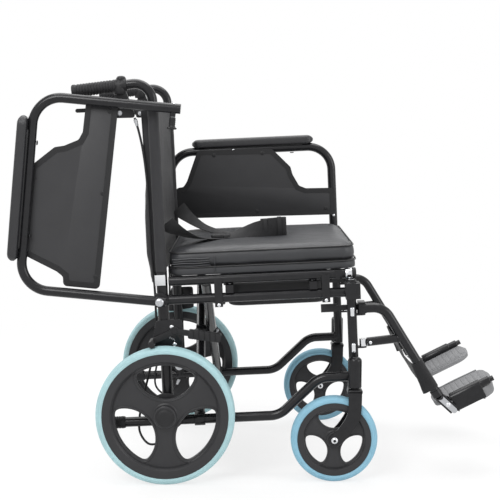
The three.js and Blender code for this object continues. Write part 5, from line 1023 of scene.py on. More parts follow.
def caster(side):
    stem = wheel_place(side, CASTER_STEM, CASTER_Y, CASTER_LIFT)
    maker = Maker(side, stem)
    outline = fork_outline()
    for low, high in ((16.2, 20.2), (-20.2, -16.2)):
        maker.slab(outline, low, high, 0.9)
    maker.block((-17, -20.2, 106), (17, 20.2, 115), 3.2, 3)
    maker.spun(Z * 110, Z, [(0, 9.9), (9, 9.9), (9, 6), (68, 6)], 40)
    maker.finish("fork_blades", "caster_fork", BLACK, ["caster_fork"])
    wheel = wheel_place(side, CASTER_STEM - CASTER_TRAIL, CASTER_Y, CASTER_LIFT)
    body = "caster_wheel"
    barrel = both_sides([(83.9, 13.4), (74, 13.5), (71.6, 13), (69.2, 10.4), (68, 7)])
    half_hub = [(16, 4.2), (16, 16.4), (15, 17.5), (14, 18), (7, 18), (5.4, 21)]
    hub = [(-y, r) for y, r in half_hub] + half_hub[::-1]
    maker = wheel_moulding(Maker(side, wheel), opening=(61, 38, 65, 60), web=(69.5, 5, 1.8),
                           border=(3.4, 1.1, 8), barrel=(barrel, 112), hub=(0, hub, 48))
    maker.finish("caster_moulding", body, RIM, ["caster_rim"], 32)
    tread = [(84.1, 12.6), (86.6, 14.2), (88.6, 15), (91, 14.9), (91.5, 14.45), (92.1, 14.8), (94.4, 13.6),
             (96.8, 11.2), (98.2, 8.2), (98.9, 4.6), (99, 1.6)]
    Maker(side, wheel).hoop(both_sides(tread), 128).finish("caster_tread", body, BLUE, ["caster_tyre"], 40)
    maker = Maker(side, wheel).rod(Y * -25.2, Y * 25.2, 3.95, round_off=0.8)
    for out, sides in ((1, 24), (-1, 6)):
        maker.spun(Y * out * 20.3, Y * out, [(0, 7.4), (0.9, 7.4)], 32)
        maker.spun(Y * out * 21, Y * out, [(0, 6.2), (2.6, 6.2), (3.6, 5.2), (4.2, 3.4)], sides)
    maker.finish("caster_bolt", body, CHROME, ["caster_axle"])


# The skirt panel's corners, as shares of its length and height
PANEL_SHARES = [
    (0, 0.042), (1, 0), (0.998, 0.381), (0.82, 0.392), (0.778, 0.434), (0.74, 0.598), (0.728, 0.709),
    (0.618, 0.974), (0.157, 1), (0.143, 0.963), (0.073, 0.566), (0.049, 0.487), (0, 0.476),
]
PANEL_LENGTH, PANEL_HEIGHT = 427, 189
PANEL_START, PANEL_LOW = 13, 132
PANEL_Y = -14


def area(line):
    """Twice the area within a closed flat line: more than 0 where it runs anticlockwise."""
    return sum(a.x * b.y - b.x * a.y for a, b in zip(line, line[1:] + line[:1]))


def inset_corners(corners, distance):
    """The corners of a straight-sided outline moved in by a distance."""
    points = [Vector(c) for c in corners]
    inward = distance if area(points) > 0 else -distance
    moved = []
    for before, corner, after in neighbours(points, closed=True):
        back, ahead = (corner - before).normalized(), (after - corner).normalized()
        one, other = Vector((-back.y, back.x)), Vector((-ahead.y, ahead.x))
        moved.append(corner + (one + other) * inward / max(1 + one.dot(other), 0.3))
    return moved


def armrest(side):
    """The armrest. Its lengths run from its hinge pin and its heights up from it."""
    place = hinged(side, 0, ARM_Y, ARM_PIVOT, ARM_FLIP if side == "right" else 0)
    body = "armrest"
    tube = rounded_line([(0, 0, -13), (0, 0, ARM_TOP), (ARM_REACH, 0, ARM_TOP), (ARM_REACH, 0, -8)], 63, 16)
    maker = Maker(side, place).sweep(tube, TUBE + 0.05, 32)
    maker.rod((ARM_REACH - 19, 0, 8), (ARM_REACH, 0, 8), 6, round_off=0.6)
    maker.weld((ARM_REACH - 10.6, 0, 8), -X, 6, 1.8, 1.0)
    maker.finish("arm_hoop", body, BLACK, ["arm_tube"])
    corners = [(PANEL_START + u * PANEL_LENGTH, PANEL_LOW + v * PANEL_HEIGHT) for u, v in PANEL_SHARES]
    outline = rounded_outline(corners, 10, 6)
    panel = Maker(side, place).slab(outline, PANEL_Y - 1.7, PANEL_Y + 1.7, 0.9)
    panel.finish("skirt_panel", body, PANEL, ["arm_panel"])
    inner = rounded_outline(inset_corners(corners, 13), 4, 6)
    maker = Maker(side, place)
    for low, high in ((1.4, 2.5), (-2.5, -1.4)):
        section = ((outline, low), (outline, high), (inner, high), (inner, low))
        maker.loop_skin([at_width(line, PANEL_Y + y) for line, y in section])
    maker.finish("panel_hem", body, HEM)
    seam = rounded_outline(inset_corners(corners, 10.6), 4, 6)
    for face, out in (("outer", 1), ("inner", -1)):
        line = at_width(seam, PANEL_Y + 2.5 * out)
        stitch_line(f"panel_stitches_{face}", body, "grey_panel", line, (3.4, 2.3, 0.35), True, side, place)
    maker = Maker(side, place)
    for x, z in ((40, 150), (230, 150), (415, 150), (120, 306), (250, 306)):
        for out in (1, -1):
            maker.spun((x, PANEL_Y + out * 2.2, z), Y * out, [
                (0, 5.2), (0.5, 5.2), (0.9, 4.2), (0.95, 1.6), (0.4, 1.4), (0.4, 0),
            ], 24)
    maker.finish("panel_studs", body, PLASTIC)
    maker = Maker(side, place)
    for x, z in ((89, ARM_TOP), (173, ARM_TOP), (ARM_REACH, 130)):
        maker.screw((x, -TUBE, z), -Y, 3.8, 2.0)
    maker.finish("hoop_screws", body, CHROME)
    plunger(side, place @ Matrix.Translation((ARM_REACH, 0, 8)))
    pad(side, place)


def plunger(side, place):
    stops = [(-47.1, 0), (-47.1, 4.5), (-46.2, 9.8), (-44.8, 11.2), (-43.4, 11.2), (-42, 8.8), (-40, 7.4)]
    stops += ribs(4, -38.6, 4.4, [(0, 7.3), (0.8, 6.7), (1.6, 6.7), (2.4, 7.3)])
    stops += [(-20.4, 6.3), (-19.4, 5.4), (-19.2, 3.4), (-19.2, 0)]
    knob = Maker(side, place).spun((0, 0, 0), X, stops, 32)
    knob.finish("plunger_knob", "arm_plunger", PLASTIC, ["arm_plunger"], slot="bare_steel")
    stem = [(-20, 0), (-20, 5.4), (-11.4, 5.4), (-11.3, 3.4), (16, 3.4), (18.2, 2.4), (19, 0)]
    Maker(side, place).spun((0, 0, 0), X, stem, 24).finish("plunger_stem", "arm_plunger", CHROME)


PAD_START, PAD_LENGTH, PAD_HALF, PAD_MIDDLE = 61, 328, 21, 337
PAD_SIDES = 28


def pad(side, place):
    """A moulded foam pad with a crowned top and a rolled edge, on its board."""
    rings = []
    for share in spread(0, 1, 48):
        end = min(share, 1 - share) * PAD_LENGTH
        half = PAD_HALF * (1 - (1 - min(1, end / 20)) ** 2.6 * 0.62)
        lift = 1 - (1 - min(1, end / 14)) ** 2.2 * 0.75
        crown = 0.9 * math.sin(math.pi * share)
        ring = []
        for a in turns(PAD_SIDES):
            c, s = math.cos(a + math.pi / PAD_SIDES), math.sin(a + math.pi / PAD_SIDES)
            y = math.copysign(abs(c) ** 0.42, c) * half
            z = PAD_MIDDLE + math.copysign(abs(s) ** (0.5 if s > 0 else 0.3), s) * 11.6 * lift
            if s > 0:
                z += crown * (1 - (y / PAD_HALF) ** 2)
            else:
                z = max(z, 325.4)
            ring.append((PAD_START + PAD_LENGTH * share, y + 4, min(z, 348.9)))
        rings.append(ring)
    shape = Maker(side, place).ring_skin(rings).finish("pad_foam", "armrest", PAD_VINYL, ["arm_pad"], 60)
    smoother(shape)
    maker = Maker(side, place).block((92, -9, 322), (358, 17, 326.4), 1.2)
    for x in (120, 330):
        maker.spun((x, 0, 304.4), -Z, [(0, 5.4), (1.2, 5.4), (2.2, 3.8), (2.2, 1.6), (1, 1.4), (1, 0)], 24)
    maker.finish("pad_board", "armrest", PLASTIC)


# Legrest: lengths from its hinge pin, heights above the rear axle. It falls along one slope to the foot.
FALL = math.radians(60.9)
SLOPE = Vector((math.cos(FALL), 0, -math.sin(FALL)))
BEHIND = Vector((-math.sin(FALL), 0, -math.cos(FALL)))
HANGER_TOP = 216.5
CORNER = Vector((50, 0, HANGER_TOP))
STRUT_START = Vector((9, 0, 138))
FOOT_TILT = math.radians(24.2)
FOOT_Y = -26
FOOT_START = Vector((193, FOOT_Y, -13))
SPINDLE = Vector((math.cos(FOOT_TILT), 0, math.sin(FOOT_TILT)))
HANGER_END, COLLAR_START, EXTENSION_END = 226, 226.1, 242
EXTENSION_TUBE = 8.7
STRUT_TUBE = 10


def on_slope(along, behind=0.0, y=0.0):
    """A spot at a distance down the slope and at a distance behind the tube's middle."""
    spot = CORNER + SLOPE * along + BEHIND * behind
    return Vector((spot.x, y, spot.z))


def legrest(side):
    place = hinged(side, HINGE_PLACE, SIDE_Y, 0)
    tube = rounded_line([(0, 0, HANGER_TOP), CORNER, on_slope(HANGER_END)], 44, 16)
    strut_end = on_slope((HANGER_TOP - STRUT_START.z - 6) / math.sin(FALL))
    mouth = [Vector((0, 0, HANGER_TOP - TUBE)), Vector((0, 0, HANGER_TOP + TUBE))]
    bars = [(tube, TUBE), (mouth, TUBE), ([STRUT_START, strut_end], STRUT_TUBE)]
    refined("legrest_hanger", "hanger_tubes", BLACK, bars, 0.6, side, place)
    back = (STRUT_START - strut_end).normalized()
    weld = Maker(side, place).weld(strut_end + back * 11.5, -back, STRUT_TUBE, 2.2, 1.4)
    weld.finish("hanger_weld", "legrest", BLACK)
    # The hinge's bright sleeve and the strut's bolt
    maker = Maker(side, place).spun((0, 0, 129.6), Z, [(0, 8.2), (0.4, 8.7), (16.4, 8.7), (16.8, 8.2)], 32)
    maker.screw((16, 9.4, STRUT_START.z), Y, 3.8, 2.6).finish("hanger_bolts", "legrest", CHROME)
    refined("legrest_latch", "latch_lever", PLASTIC, bevel=2.0, side=side,
            place=hinged(side, HINGE_PLACE, SIDE_Y - 21, 0))
    end = on_slope(EXTENSION_END)
    bars = [
        ([on_slope(136), end], EXTENSION_TUBE),
        ([on_slope(COLLAR_START), end], STOUT_TUBE),
        ([end, FOOT_START], EXTENSION_TUBE),
        ([FOOT_START, FOOT_START + SPINDLE * 118], 6),
    ]
    refined("leg_extension", "extension_tube", BLACK, bars, side=side, place=place, slot="bare_steel")
    # The bright strip with its two bolts, seen from outside
    strip_end = Vector((204, 0, -31))
    along = (strip_end - end).normalized()
    across = Vector((-along.z, 0, along.x))
    maker = Maker(side, place)
    for share, size in ((0.12, 4.6), (0.62, 5.2)):
        maker.screw(end.lerp(strip_end, share) + Y * 0.1, Y, size, 3.0)
    maker.finish("strip_bolts", "leg_extension", CHROME)
    strip = []
    for middle, turn in ((end + along * 4, -1), (strip_end, 1)):
        for a in spread(0, math.pi, 12):
            strip.append((middle + (along * math.sin(a) - across * math.cos(a)) * turn * 6.6).xz)
    Maker(side, place).slab(strip, -0.8, 0.5, 0.3).finish("bright_strip", "leg_extension", ZINC)
    footrest(side)


# The tray's outline, along its spindle and across it, and the steps of its wall: how far each lies within
# the outline, and its share of the wall's depth. The last two are the floor.
TRAY = [(-36.5, -134), (103, -134), (112, -62), (99, 7), (2, 8), (-2, -34), (-36.5, -36)]
TRAY_TOP = -3.4
TRAY_FLOOR = 7
INNER_DEPTH, TOE_DEPTH, HEEL_DEPTH = 10.5, 30.5, 13    # of the wall: at its inner side, outer toe and heel
HOOD_SINK, HOOD_EDGE = 6, -13
TRAY_WALL = [(9, 0), (4.6, 0), (2, 0.05), (0.6, 0.14), (0, 0.34), (0.4, 0.8), (1.2, 0.95), (2.4, 1),
             (3.6, 0.94), (4, 0.8), (5, None), (9, None)]


def tray_rings(outline):
    """A hollow moulded tray: a level top, a rolled rim and a wall that hangs deeper at the outer toe."""
    side = 1 if area(outline) > 0 else -1
    for inset, share in TRAY_WALL:
        ring = []
        for p in outward(outline, -inset * side):
            outer, front = clamped((p.y + 74) / 62), clamped((p.x - 10) / 60)
            depth = INNER_DEPTH + (TOE_DEPTH - INNER_DEPTH) * outer ** 0.7 * front
            depth += (HEEL_DEPTH - INNER_DEPTH) * outer * (1 - front)
            drop = TRAY_FLOOR if share is None else share * depth
            # The outer edge lies lower, under the hood
            sink = HOOD_SINK if p.y > HOOD_EDGE else 0
            ring.append((p.x, p.y, TRAY_TOP - max(drop, sink)))
        yield ring


def footrest(side):
    start = FOOT_START + SPINDLE * 8
    place = hinged(side, HINGE_PLACE + start.x, SIDE_Y + FOOT_Y, start.z, FOOT_TILT)
    maker = Maker(side, place).ring_skin(list(tray_rings(rounded_outline(TRAY, 40, 14))))
    # Tread pads with fine gaps between them, a rolled lip along the inner edge, and two ribs below
    for i in range(9):
        x = -25 + i * 14.2
        maker.block((x, -104 if i in (0, 8) else -116, -4), (x + 12.8, -38 if i < 2 else -24, -2.6), 0.6)
    lip = rounded_line([(-22, -126, -3.4), (34, -128.4, -3.0), (92, -126, -3.4)], 60)
    maker.sweep(lip, 2.6, 14, 0.8)
    for x in (10, 60):
        maker.block((x - 2, -118, -12), (x + 2, -30, -9.6), 0.8)
    maker.finish("foot_tray", "footplate", FOOT_GREY, ["footplate"], 40)
    # The hood over the spindle: a round back with a straight skirt
    radius = 12.4
    hood = [(radius, -30)]
    hood += [(radius * math.cos(a), radius * math.sin(a)) for a in spread(0, math.pi, 15)]
    hood += [(-radius, -9.5), (7.6, -9.5), (7.6, -30)]
    maker = Maker(side, place).slab(hood, 0.2, 76, 1.4, 3, axis=0)
    maker.spun((75, 0, 0), X, [(0, 9.8), (23.4, 9.8), (25, 8.8), (25, 7.4), (21, 7), (21, 0)], 40)
    for x in (5, 71):
        maker.block((x - 1.6, 8.2, -33), (x + 1.6, 11.8, -28), 0.8)
    maker.finish("foot_hood", "footplate", BLACK)


def braces():
    """Both halves of the crossed brace with their seat rails, and the bolt that they turn on."""
    for name, x, way in (("brace_a", 75, 1), ("brace_b", 103, -1)):
        y = way * SIDE_Y
        foot, head = Vector((x, -y, BOTTOM_RAIL)), Vector((x, y, SEAT_RAIL))
        bars = [
            ([foot, head], TUBE),
            ([(22, y, SEAT_RAIL), (422, y, SEAT_RAIL)], TUBE),
            ([(421, y, SEAT_RAIL), (446, y, SEAT_RAIL)], 11.6),
        ]
        refined(name, f"{name}_tubes", BLACK, bars, 0.7)
        sleeve = [(0, 11.8), (0.5, 12.1), (14, 12.1), (14.6, 11.8)]
        Maker().spun((422.5, y, SEAT_RAIL), X, sleeve, 40).finish(f"{name}_chrome_sleeve", name, CHROME)
        front_cap = [(0, 11.8), (0.4, 12.9), (7.4, 12.9), (9, 11.9), (9.4, 9.5), (9.4, 0)]
        rear_cap = [(0, 11.3), (1.6, 11.3), (2.4, 9.4), (2.4, 0)]
        caps = Maker().spun((437.2, y, SEAT_RAIL), X, front_cap, 40)
        caps.spun((21.8, y, SEAT_RAIL), -X, rear_cap, 40).finish(f"{name}_rail_caps", name, PLASTIC)
        along = (head - foot).normalized()
        welds = Maker().weld(foot + along * 17.5, along, TUBE, 2.4, 1.4)
        welds.weld(head - along * 11.5, along, TUBE, 2.4, 1.4).finish(f"{name}_welds", name, BLACK)
    middle = (SEAT_RAIL + BOTTOM_RAIL) / 2
    maker = Maker().rod((63.9, 0, middle), (114.1, 0, middle), 4.95)
    maker.hex_head((63.8, 0, middle), -X, 9, 5.0)
    maker.hex_head((114.2, 0, middle), X, 9, 5.0)
    maker.finish("brace_bolt", "brace_a", ZINC, ["brace_pivot"])


PAN_MIDDLE, PAN_HALF_LENGTH, PAN_HALF_WIDTH, PAN_CORNER = 269, 128, 131, 44


def pan():
    """The commode pan, as levels of (how far within its rim, height), and the carrier that it slides in."""
    refined("pan_carrier", "carrier_rails", BLACK, bevel=0.7, slot="black_plastic")
    rings = []
    for inset, height in (
        (20, 215), (14, 215.3), (10, 217.6), (8.2, 222), (7.4, 232), (7, 271.8), (1.2, 271.9), (0, 272.8),
        (0, 274.2), (1, 275), (9, 275), (10.2, 273.6), (13, 232), (15.5, 224), (21, 219.6), (27, 218.4),
        (36, 218.2),
    ):
        r = PAN_CORNER - inset
        half_x, half_y = PAN_HALF_LENGTH - inset - r, PAN_HALF_WIDTH - inset - r
        rings.append([
            (PAN_MIDDLE + out_x * half_x + r * math.cos(a), out_y * half_y + r * math.sin(a), height)
            for quarter, (out_x, out_y) in enumerate(((1, 1), (-1, 1), (-1, -1), (1, -1)))
            for a in spread(math.pi / 2 * quarter, math.pi / 2 * (quarter + 1), 11)
        ])
    Maker().ring_skin(rings).finish("pan_shell", "commode_pan", PLASTIC, ["commode_pan"], 40)
    maker = Maker()
    for x in (152, 386):
        for y in (-128, 128):
            maker.spun((x, y, 274.8), Z, [(0, 3.4), (0.9, 3.4), (1.6, 2.4), (1.6, 0)], 20)
    maker.finish("pan_rivets", "commode_pan", ZINC)
    maker = Maker()
    for y in (222, -222):
        for x in (157, 348):
            maker.screw((x, y, 284.4), Z, 4.2, 2.2)
    maker.finish("carrier_bolts", "pan_carrier", CHROME)


def cushion_ring(inset, height, count=160):
    """A rounded rectangle of even steps, anticlockwise from above."""
    half_length, half_width = CUSHION_HALF_LENGTH - inset, CUSHION_HALF_WIDTH - inset
    r = max(34.0 - inset * 0.6, 6)
    straight = [2 * (half_width - r), 2 * (half_length - r)] * 2
    arc = math.pi / 2 * r
    whole = sum(straight) + 4 * arc
    points = []
    for i in range(count):
        s = whole * i / count
        for quarter, (out_x, out_y) in enumerate(((1, -1), (1, 1), (-1, 1), (-1, -1))):
            x, y = CUSHION_MIDDLE + out_x * (half_length - r), out_y * (half_width - r)
            start = math.pi / 2 * (quarter - 1)
            if s < arc:
                a = start + s / r
                points.append(Vector((x + r * math.cos(a), y + r * math.sin(a), height)))
                break
            s -= arc
            if s < straight[quarter]:
                a = start + math.pi / 2
                out = Vector((math.cos(a), math.sin(a), 0))
                along = Vector((-math.sin(a), math.cos(a), 0))
                points.append(Vector((x, y, height)) + out * r + along * s)
                break
            s -= straight[quarter]
    return points


def cushion():
    """A covered board, a foam body with a crowned top, and its seams."""
    body = "seat_cushion"
    rings = [cushion_ring(inset, height) for inset, height in (
        (60, 310.2), (6, 310.2), (3.4, 310.9), (2.2, 312.6), (1.8, 318), (2.2, 324.6), (3.4, 327.2),
        (8, 327.8), (60, 327.8),
    )]
    board = Maker().ring_skin(rings).finish("cushion_board_cover", body, CUSHION_VINYL, ["seat_cushion"], 60)
    foam = cushion_foam()
    piping = Maker()
    for inset, height, radius in ((1.0, 328.2, 1.7), (5.4, 361.6, 1.9)):
        piping.bead(cushion_ring(inset, height, 200), radius, up=Z)
    pieces = [board, piping.finish("cushion_piping", body, PIPING)]
    for number, (inset, height) in enumerate(((0.4, 331.6), (9.4, 364.4))):
        pieces.append(stitch_line(f"cushion_stitches_{number}", body, "black_vinyl",
                                  cushion_ring(inset, height, 200), (4.2, 2.9, 0.32), True))
    # Folds at the near rear corner, where the cover's flap closes with a strip of hook tape
    flap = Maker()
    face = -CUSHION_HALF_WIDTH
    for level, (height, out) in enumerate(((348.5, 0.9), (343.2, 1.6), (337.9, 2.0), (332.4, 1.2))):
        line = [(30 + 4 * i + (level % 2) * 3, face - out * 0.35, height - 0.6 * math.sin(i * 0.45 + level))
                for i in range(22)]
        flap.sweep(line, [1.2 + 0.7 * math.sin(a) for a in spread(0, math.pi, 21)], 10, 0.6)
    flap.block((126, face - 1.2, 312), (127.6, face + 1.5, 352), 0.5)
    pieces.append(flap.finish("cushion_flap_folds", body, CUSHION_VINYL))
    squash_with_fold([*pieces, foam])


def cushion_foam():
    """The foam under its cover: swollen by a cloth simulation, then given its crowned top and creases."""
    rings = [cushion_ring(inset, height) for inset, height in (
        (90, 331), (12, 331), (6, 331.6), (4, 333.5), (3, 340), (3, 350), (4.6, 357), (8, 361), (16, 364),
        (50, 366), (110, 367.5),
    )]
    shape = Maker().ring_skin(rings).finish("cushion_foam", "seat_cushion", CUSHION_VINYL, crease=60)
    swell(shape, voxel=0.006, cap=0.006, pressure=3.0, frames=20)
    press_flat(shape)
    smoother(shape)
    return shape


def swell(shape, voxel, cap, pressure, frames):
    """Blows a closed form up a little as cloth. No point moves inward, or further than the cap."""
    scene = bpy.context.scene
    work = placed("swelling", shape.data.copy())
    grid = work.modifiers.new("grid", "REMESH")
    grid.mode = "VOXEL"
    grid.voxel_size = voxel
    apply_all(work)
    before = [v.co.copy() for v in work.data.vertices]
    outside = [v.normal.copy() for v in work.data.vertices]
    cloth = work.modifiers.new("cloth", "CLOTH")
    cloth.settings.use_pressure = True
    cloth.settings.uniform_pressure_force = pressure
    cloth.settings.effector_weights.gravity = 0
    cloth.settings.quality = 4
    cloth.point_cache.frame_start = 1
    cloth.point_cache.frame_end = frames
    for number in range(1, frames + 1):
        scene.frame_set(number)
    blown = work.evaluated_get(bpy.context.evaluated_depsgraph_get()).data
    after = [v.co.copy() for v in blown.vertices]
    work.modifiers.clear()
    scene.frame_set(1)
    for vert, start, end, out in zip(work.data.vertices, before, after, outside):
        step = end - start
        step -= out * min(0.0, step.dot(out))
        if step.length > cap:
            step *= cap / step.length
        vert.co = start + step
    shape.data = work.data
    bpy.data.objects.remove(work)


# Heights of the foam: its lowest, where its sides and its top begin, and its highest
FOAM_LOW, FOAM_SIDES, FOAM_TOP, FOAM_HIGH = 330.2, 336, 352, 374
FOAM_BULGE = 1.5


def press_flat(shape):
    """Sits the foam flat on its board, crowns its top, and creases its cover."""
    back = FRAME.inverted()
    for vert in shape.data.vertices:
        p = back @ vert.co
        reach_x, reach_y = (p.x - CUSHION_MIDDLE) / CUSHION_HALF_LENGTH, p.y / CUSHION_HALF_WIDTH
        edge = max(abs(reach_x), abs(reach_y))
        if p.z > FOAM_TOP:
            fold = noise.noise(Vector((p.x * 0.012 + p.y * 0.006, p.y * 0.03, 3.1)))
            fine = abs(noise.noise(Vector((p.x * 0.05 - p.y * 0.02, p.y * 0.09, 7.7))))
            near_rim = clamped((edge - 0.55) / 0.35)
            p.z += 1.1 * fold - 1.3 * max(0.3 - fine, 0) * near_rim
            p.z += 2.4 * (1 - min(1, edge) ** 2)
        elif p.z > FOAM_SIDES:
            wave = noise.noise(Vector((p.x * 0.025, p.y * 0.025, p.z * 0.11)))
            out = Vector((reach_x ** 9, reach_y ** 9, 0))
            if out.length > 0.05:
                p += out.normalized() * wave * 0.9
        length, width = CUSHION_HALF_LENGTH + FOAM_BULGE, CUSHION_HALF_WIDTH + FOAM_BULGE
        p.x = max(CUSHION_MIDDLE - length, min(p.x, CUSHION_MIDDLE + length))
        p.y = max(-width, min(p.y, width))
        p.z = max(FOAM_LOW, min(p.z, FOAM_HIGH))
        vert.co = FRAME @ p
    soften(shape, 60)


# Back: cloth slung between the canes, sleeves round them, and a rear cover with a pocket. Both tables give
# how far forward a face lies at each height.
BACK_LOW, BACK_HIGH = 296, 700
BACK_HALF = SIDE_Y - 3
BACK_FRONT, BACK_DIP, BACK_FOLD = 11, 15.4, 3   # its front beside the canes, its sag and its waves
COVER_HIGH, COVER_HALF = 694, 226
POCKET_LOW, POCKET_TOP, POCKET_HALF = 294, 548, 212
COVER_REAR = [(280, -17), (300, -17.5), (365, -18.8), (556, -19.2), (610, -21.2), (700, -22.4)]
POCKET_REAR = [(290, -19.6), (312, -24), (365, -30.4), (434, -30.5), (493, -27.3), (528, -23.4),
               (540, -22.2), (560, -23)]
SEAM_GAUGE = (4.4, 3.0, 0.34)


def between(table, z):
    """A smooth reading of a table of heights and depths."""
    for (low, one), (high, other) in zip(table, table[1:]):
        if z <= high:
            t = max(0.0, (z - low) / (high - low))
            return one + (other - one) * t * t * (3 - 2 * t)
    return table[-1][1]


def ripple(*place):
    return noise.noise(Vector(place))


def cover_rear(y, z):
    """The rear face of the back's cover, creased by its weight between its side seams."""
    dip = max(0.0, 1 - (y / COVER_HALF) ** 2)
    crease = ripple(y * 0.012, z * 0.02, 9.3) + 0.5 * ripple(y * 0.03, z * 0.06, 4.4)
    return between(COVER_REAR, z) + 1.2 * dip * crease


def back_face(y, z):
    """How far forward the front of the back cloth lies."""
    dip = max(0.0, 1 - (y / SIDE_Y) ** 2)
    fold = BACK_FOLD * math.sin((z - BACK_LOW) / (BACK_HIGH - BACK_LOW) * math.pi * 3)
    creases = 1.4 * ripple(y * 0.011, z * 0.022, 1.7) + 0.7 * ripple(y * 0.02 + z * 0.02, z * 0.05, 5.2)
    return BACK_FRONT - (BACK_DIP + fold) * dip - abs(creases) * min(1, dip * 3)


def pocket_face(y, z):
    """The pocket's rear wall: it hangs full below and sags at its mouth."""
    side = min(1.0, (1 - abs(y) / POCKET_HALF) * 16) ** 0.5
    base = cover_rear(y, z)
    fold = 0.9 * ripple(y * 0.016, z * 0.03, 2.6) * side
    deep = max(base - between(POCKET_REAR, z) - 1.6, 0.3) * side
    sag = 4 * math.exp(-(POCKET_TOP - z) / 60) * (1 - (y / POCKET_HALF) ** 2)
    return Vector((base - 0.2 - deep + min(fold, 0.4), y, z - sag))


def cloth_sheet(columns, rows, half, low, high, thickness, face):
    """A closed sheet of cloth. face(y, z) gives a place on its front, and it has its thickness behind."""
    rings = []
    for z in spread(low, high, rows):
        front = [face(y, z) for y in spread(-half, half, columns)]
        rings.append(front + [p - X * thickness for p in reversed(front)])
    count = len(rings[0])

    def uvs(row, column):
        p = rings[row][column % count]
        return p.y * MM, p.z * MM
    return Maker().ring_skin(rings, uvs)


def sleeve(middles, ahead, radius, count, uvs):
    """A cloth sleeve round a tube. radius(angle, row) holds its pull and its creases."""
    ways = [(a, ahead * math.cos(a) + Y * math.sin(a)) for a in turns(count)]
    rings = [[middle + way * radius(a, row) for a, way in ways] for row, middle in enumerate(middles)]
    return Maker().ring_skin(rings, uvs)


def back_cover():
    """The cover behind the back, with a gusset along each side and a stiff top edge."""
    maker = cloth_sheet(76, 60, COVER_HALF, BACK_LOW, COVER_HIGH, 1.6,
                        lambda y, z: Vector((cover_rear(y, z) + 1.6, y, z)))
    for out in (-1, 1):
        rings = []
        for z in spread(BACK_LOW, COVER_HIGH, 60):
            rear = cover_rear(COVER_HALF, z) + 0.4
            puff = 0.5 * ripple(out * 3, z * 0.05, 6.1)
            rings.append([
                (x, out * (COVER_HALF + wide), z)
                for x, wide in ((-5, -1.6), (-5, -0.2), ((rear - 5) / 2, 0.3 + puff), (rear, 0), (rear, -1.6))
            ])
        maker.ring_skin(rings, lambda i, j: (j * 0.006, i * 0.0066))
    maker.block((-21.4, -COVER_HALF, BACK_HIGH - 8), (-3, COVER_HALF, BACK_HIGH - 5), 1.2)
    return maker.finish("back_cover", "right_frame", BACK_CLOTH, crease=50)


def back():
    front = cloth_sheet(84, 72, BACK_HALF, BACK_LOW, BACK_HIGH, 7.4,
                        lambda y, z: Vector((back_face(y, z), y, z)))
    panel = front.finish("back_cloth", "right_frame", BACK_CLOTH, ["back_upholstery"], 50)
    heights = spread(320.5, BACK_HIGH, 76)
    for side, way in SIDES.items():
        wrap = sleeve(
            [Vector((UPRIGHT, way * SIDE_Y, z)) for z in heights], X,
            lambda a, row: 12.7 + 0.45 * ripple(math.cos(a) * 1.4, math.sin(a) * 1.4 + way * 4,
                                                heights[row] * 0.035),
            40, lambda i, j: (j * 0.002, i * 0.005))
        wrap.finish(f"{side}_back_sleeve", f"{side}_frame", BACK_CLOTH, crease=50)
    cover = back_cover()
    pouch = cloth_sheet(72, 48, POCKET_HALF, POCKET_LOW, POCKET_TOP, 1.6, pocket_face)
    pocket = pouch.finish("back_pocket", "right_frame", BACK_CLOTH, crease=50)
    maker = Maker()
    mouth = [pocket_face(y, POCKET_TOP) - X * 0.8 for y in spread(-POCKET_HALF, POCKET_HALF, 72)]
    maker.sweep(mouth, 2.3, 10, 0.8)
    for z in (BACK_HIGH - 1, BACK_LOW + 1):
        maker.sweep([(back_face(y, z) - 3.8, y, z) for y in spread(-225, 225, 90)], 4.6, 12, 0.9)
    for out in (-1, 1):
        maker.sweep([(cover_rear(COVER_HALF, z) - 0.4, out * (COVER_HALF - 0.2), z)
                     for z in range(BACK_LOW + 2, COVER_HIGH, 6)], 1.5, 10)
    pieces = [panel, cover, pocket, maker.finish("back_hems", "right_frame", PIPING)]

    def on_front(y, z):
        return Vector((back_face(y, z) + 0.1, y, z))

    def on_pocket(u, v):
        y, z = POCKET_HALF * (2 * u - 1), POCKET_LOW + (POCKET_TOP - POCKET_LOW) * v
        return pocket_face(y, z) - X * 1.7
    lines = {
        "back_stitches_top": [on_front(y, 688) for y in spread(-220, 220, 80)],
        "back_stitches_right": [on_front(-214, z) for z in spread(302, 694, 60)],
        "back_stitches_left": [on_front(214, z) for z in spread(302, 694, 60)],
        "pocket_stitches_low": [on_pocket(u, 0.045) for u in spread(0, 1, 60)],
        "pocket_stitches_right": [on_pocket(0.02, v) for v in spread(0, 1, 50)],
        "pocket_stitches_left": [on_pocket(0.98, v) for v in spread(0, 1, 50)],
    }
    for name, line in lines.items():
        pieces.append(stitch_line(name, "right_frame", "black_vinyl", line, SEAM_GAUGE))
    squash_with_fold(pieces)


# Lap belt: heights above the cushion's top
BELT = [
    (20, -219, 59), (40, -196, 39), (80, -146, 15), (124, -84, 4), (160, -34, 1.7), (160, 34, 1.7),
    (124, 84, 4), (80, 146, 15), (40, 196, 39), (20, 219, 59),
]
TAIL = [(148, -62, 6), (172, -64, 9), (204, -67, 14), (238, -69, 20), (272, -69, 24), (291, -67, 24.5),
        (297, -60, 24.5), (290, -53, 24.5), (262, -52, 23), (236, -53, 22)]
BELT_WIDTH, TAIL_WIDTH, BELT_THICKNESS = 38, 44, 1.9


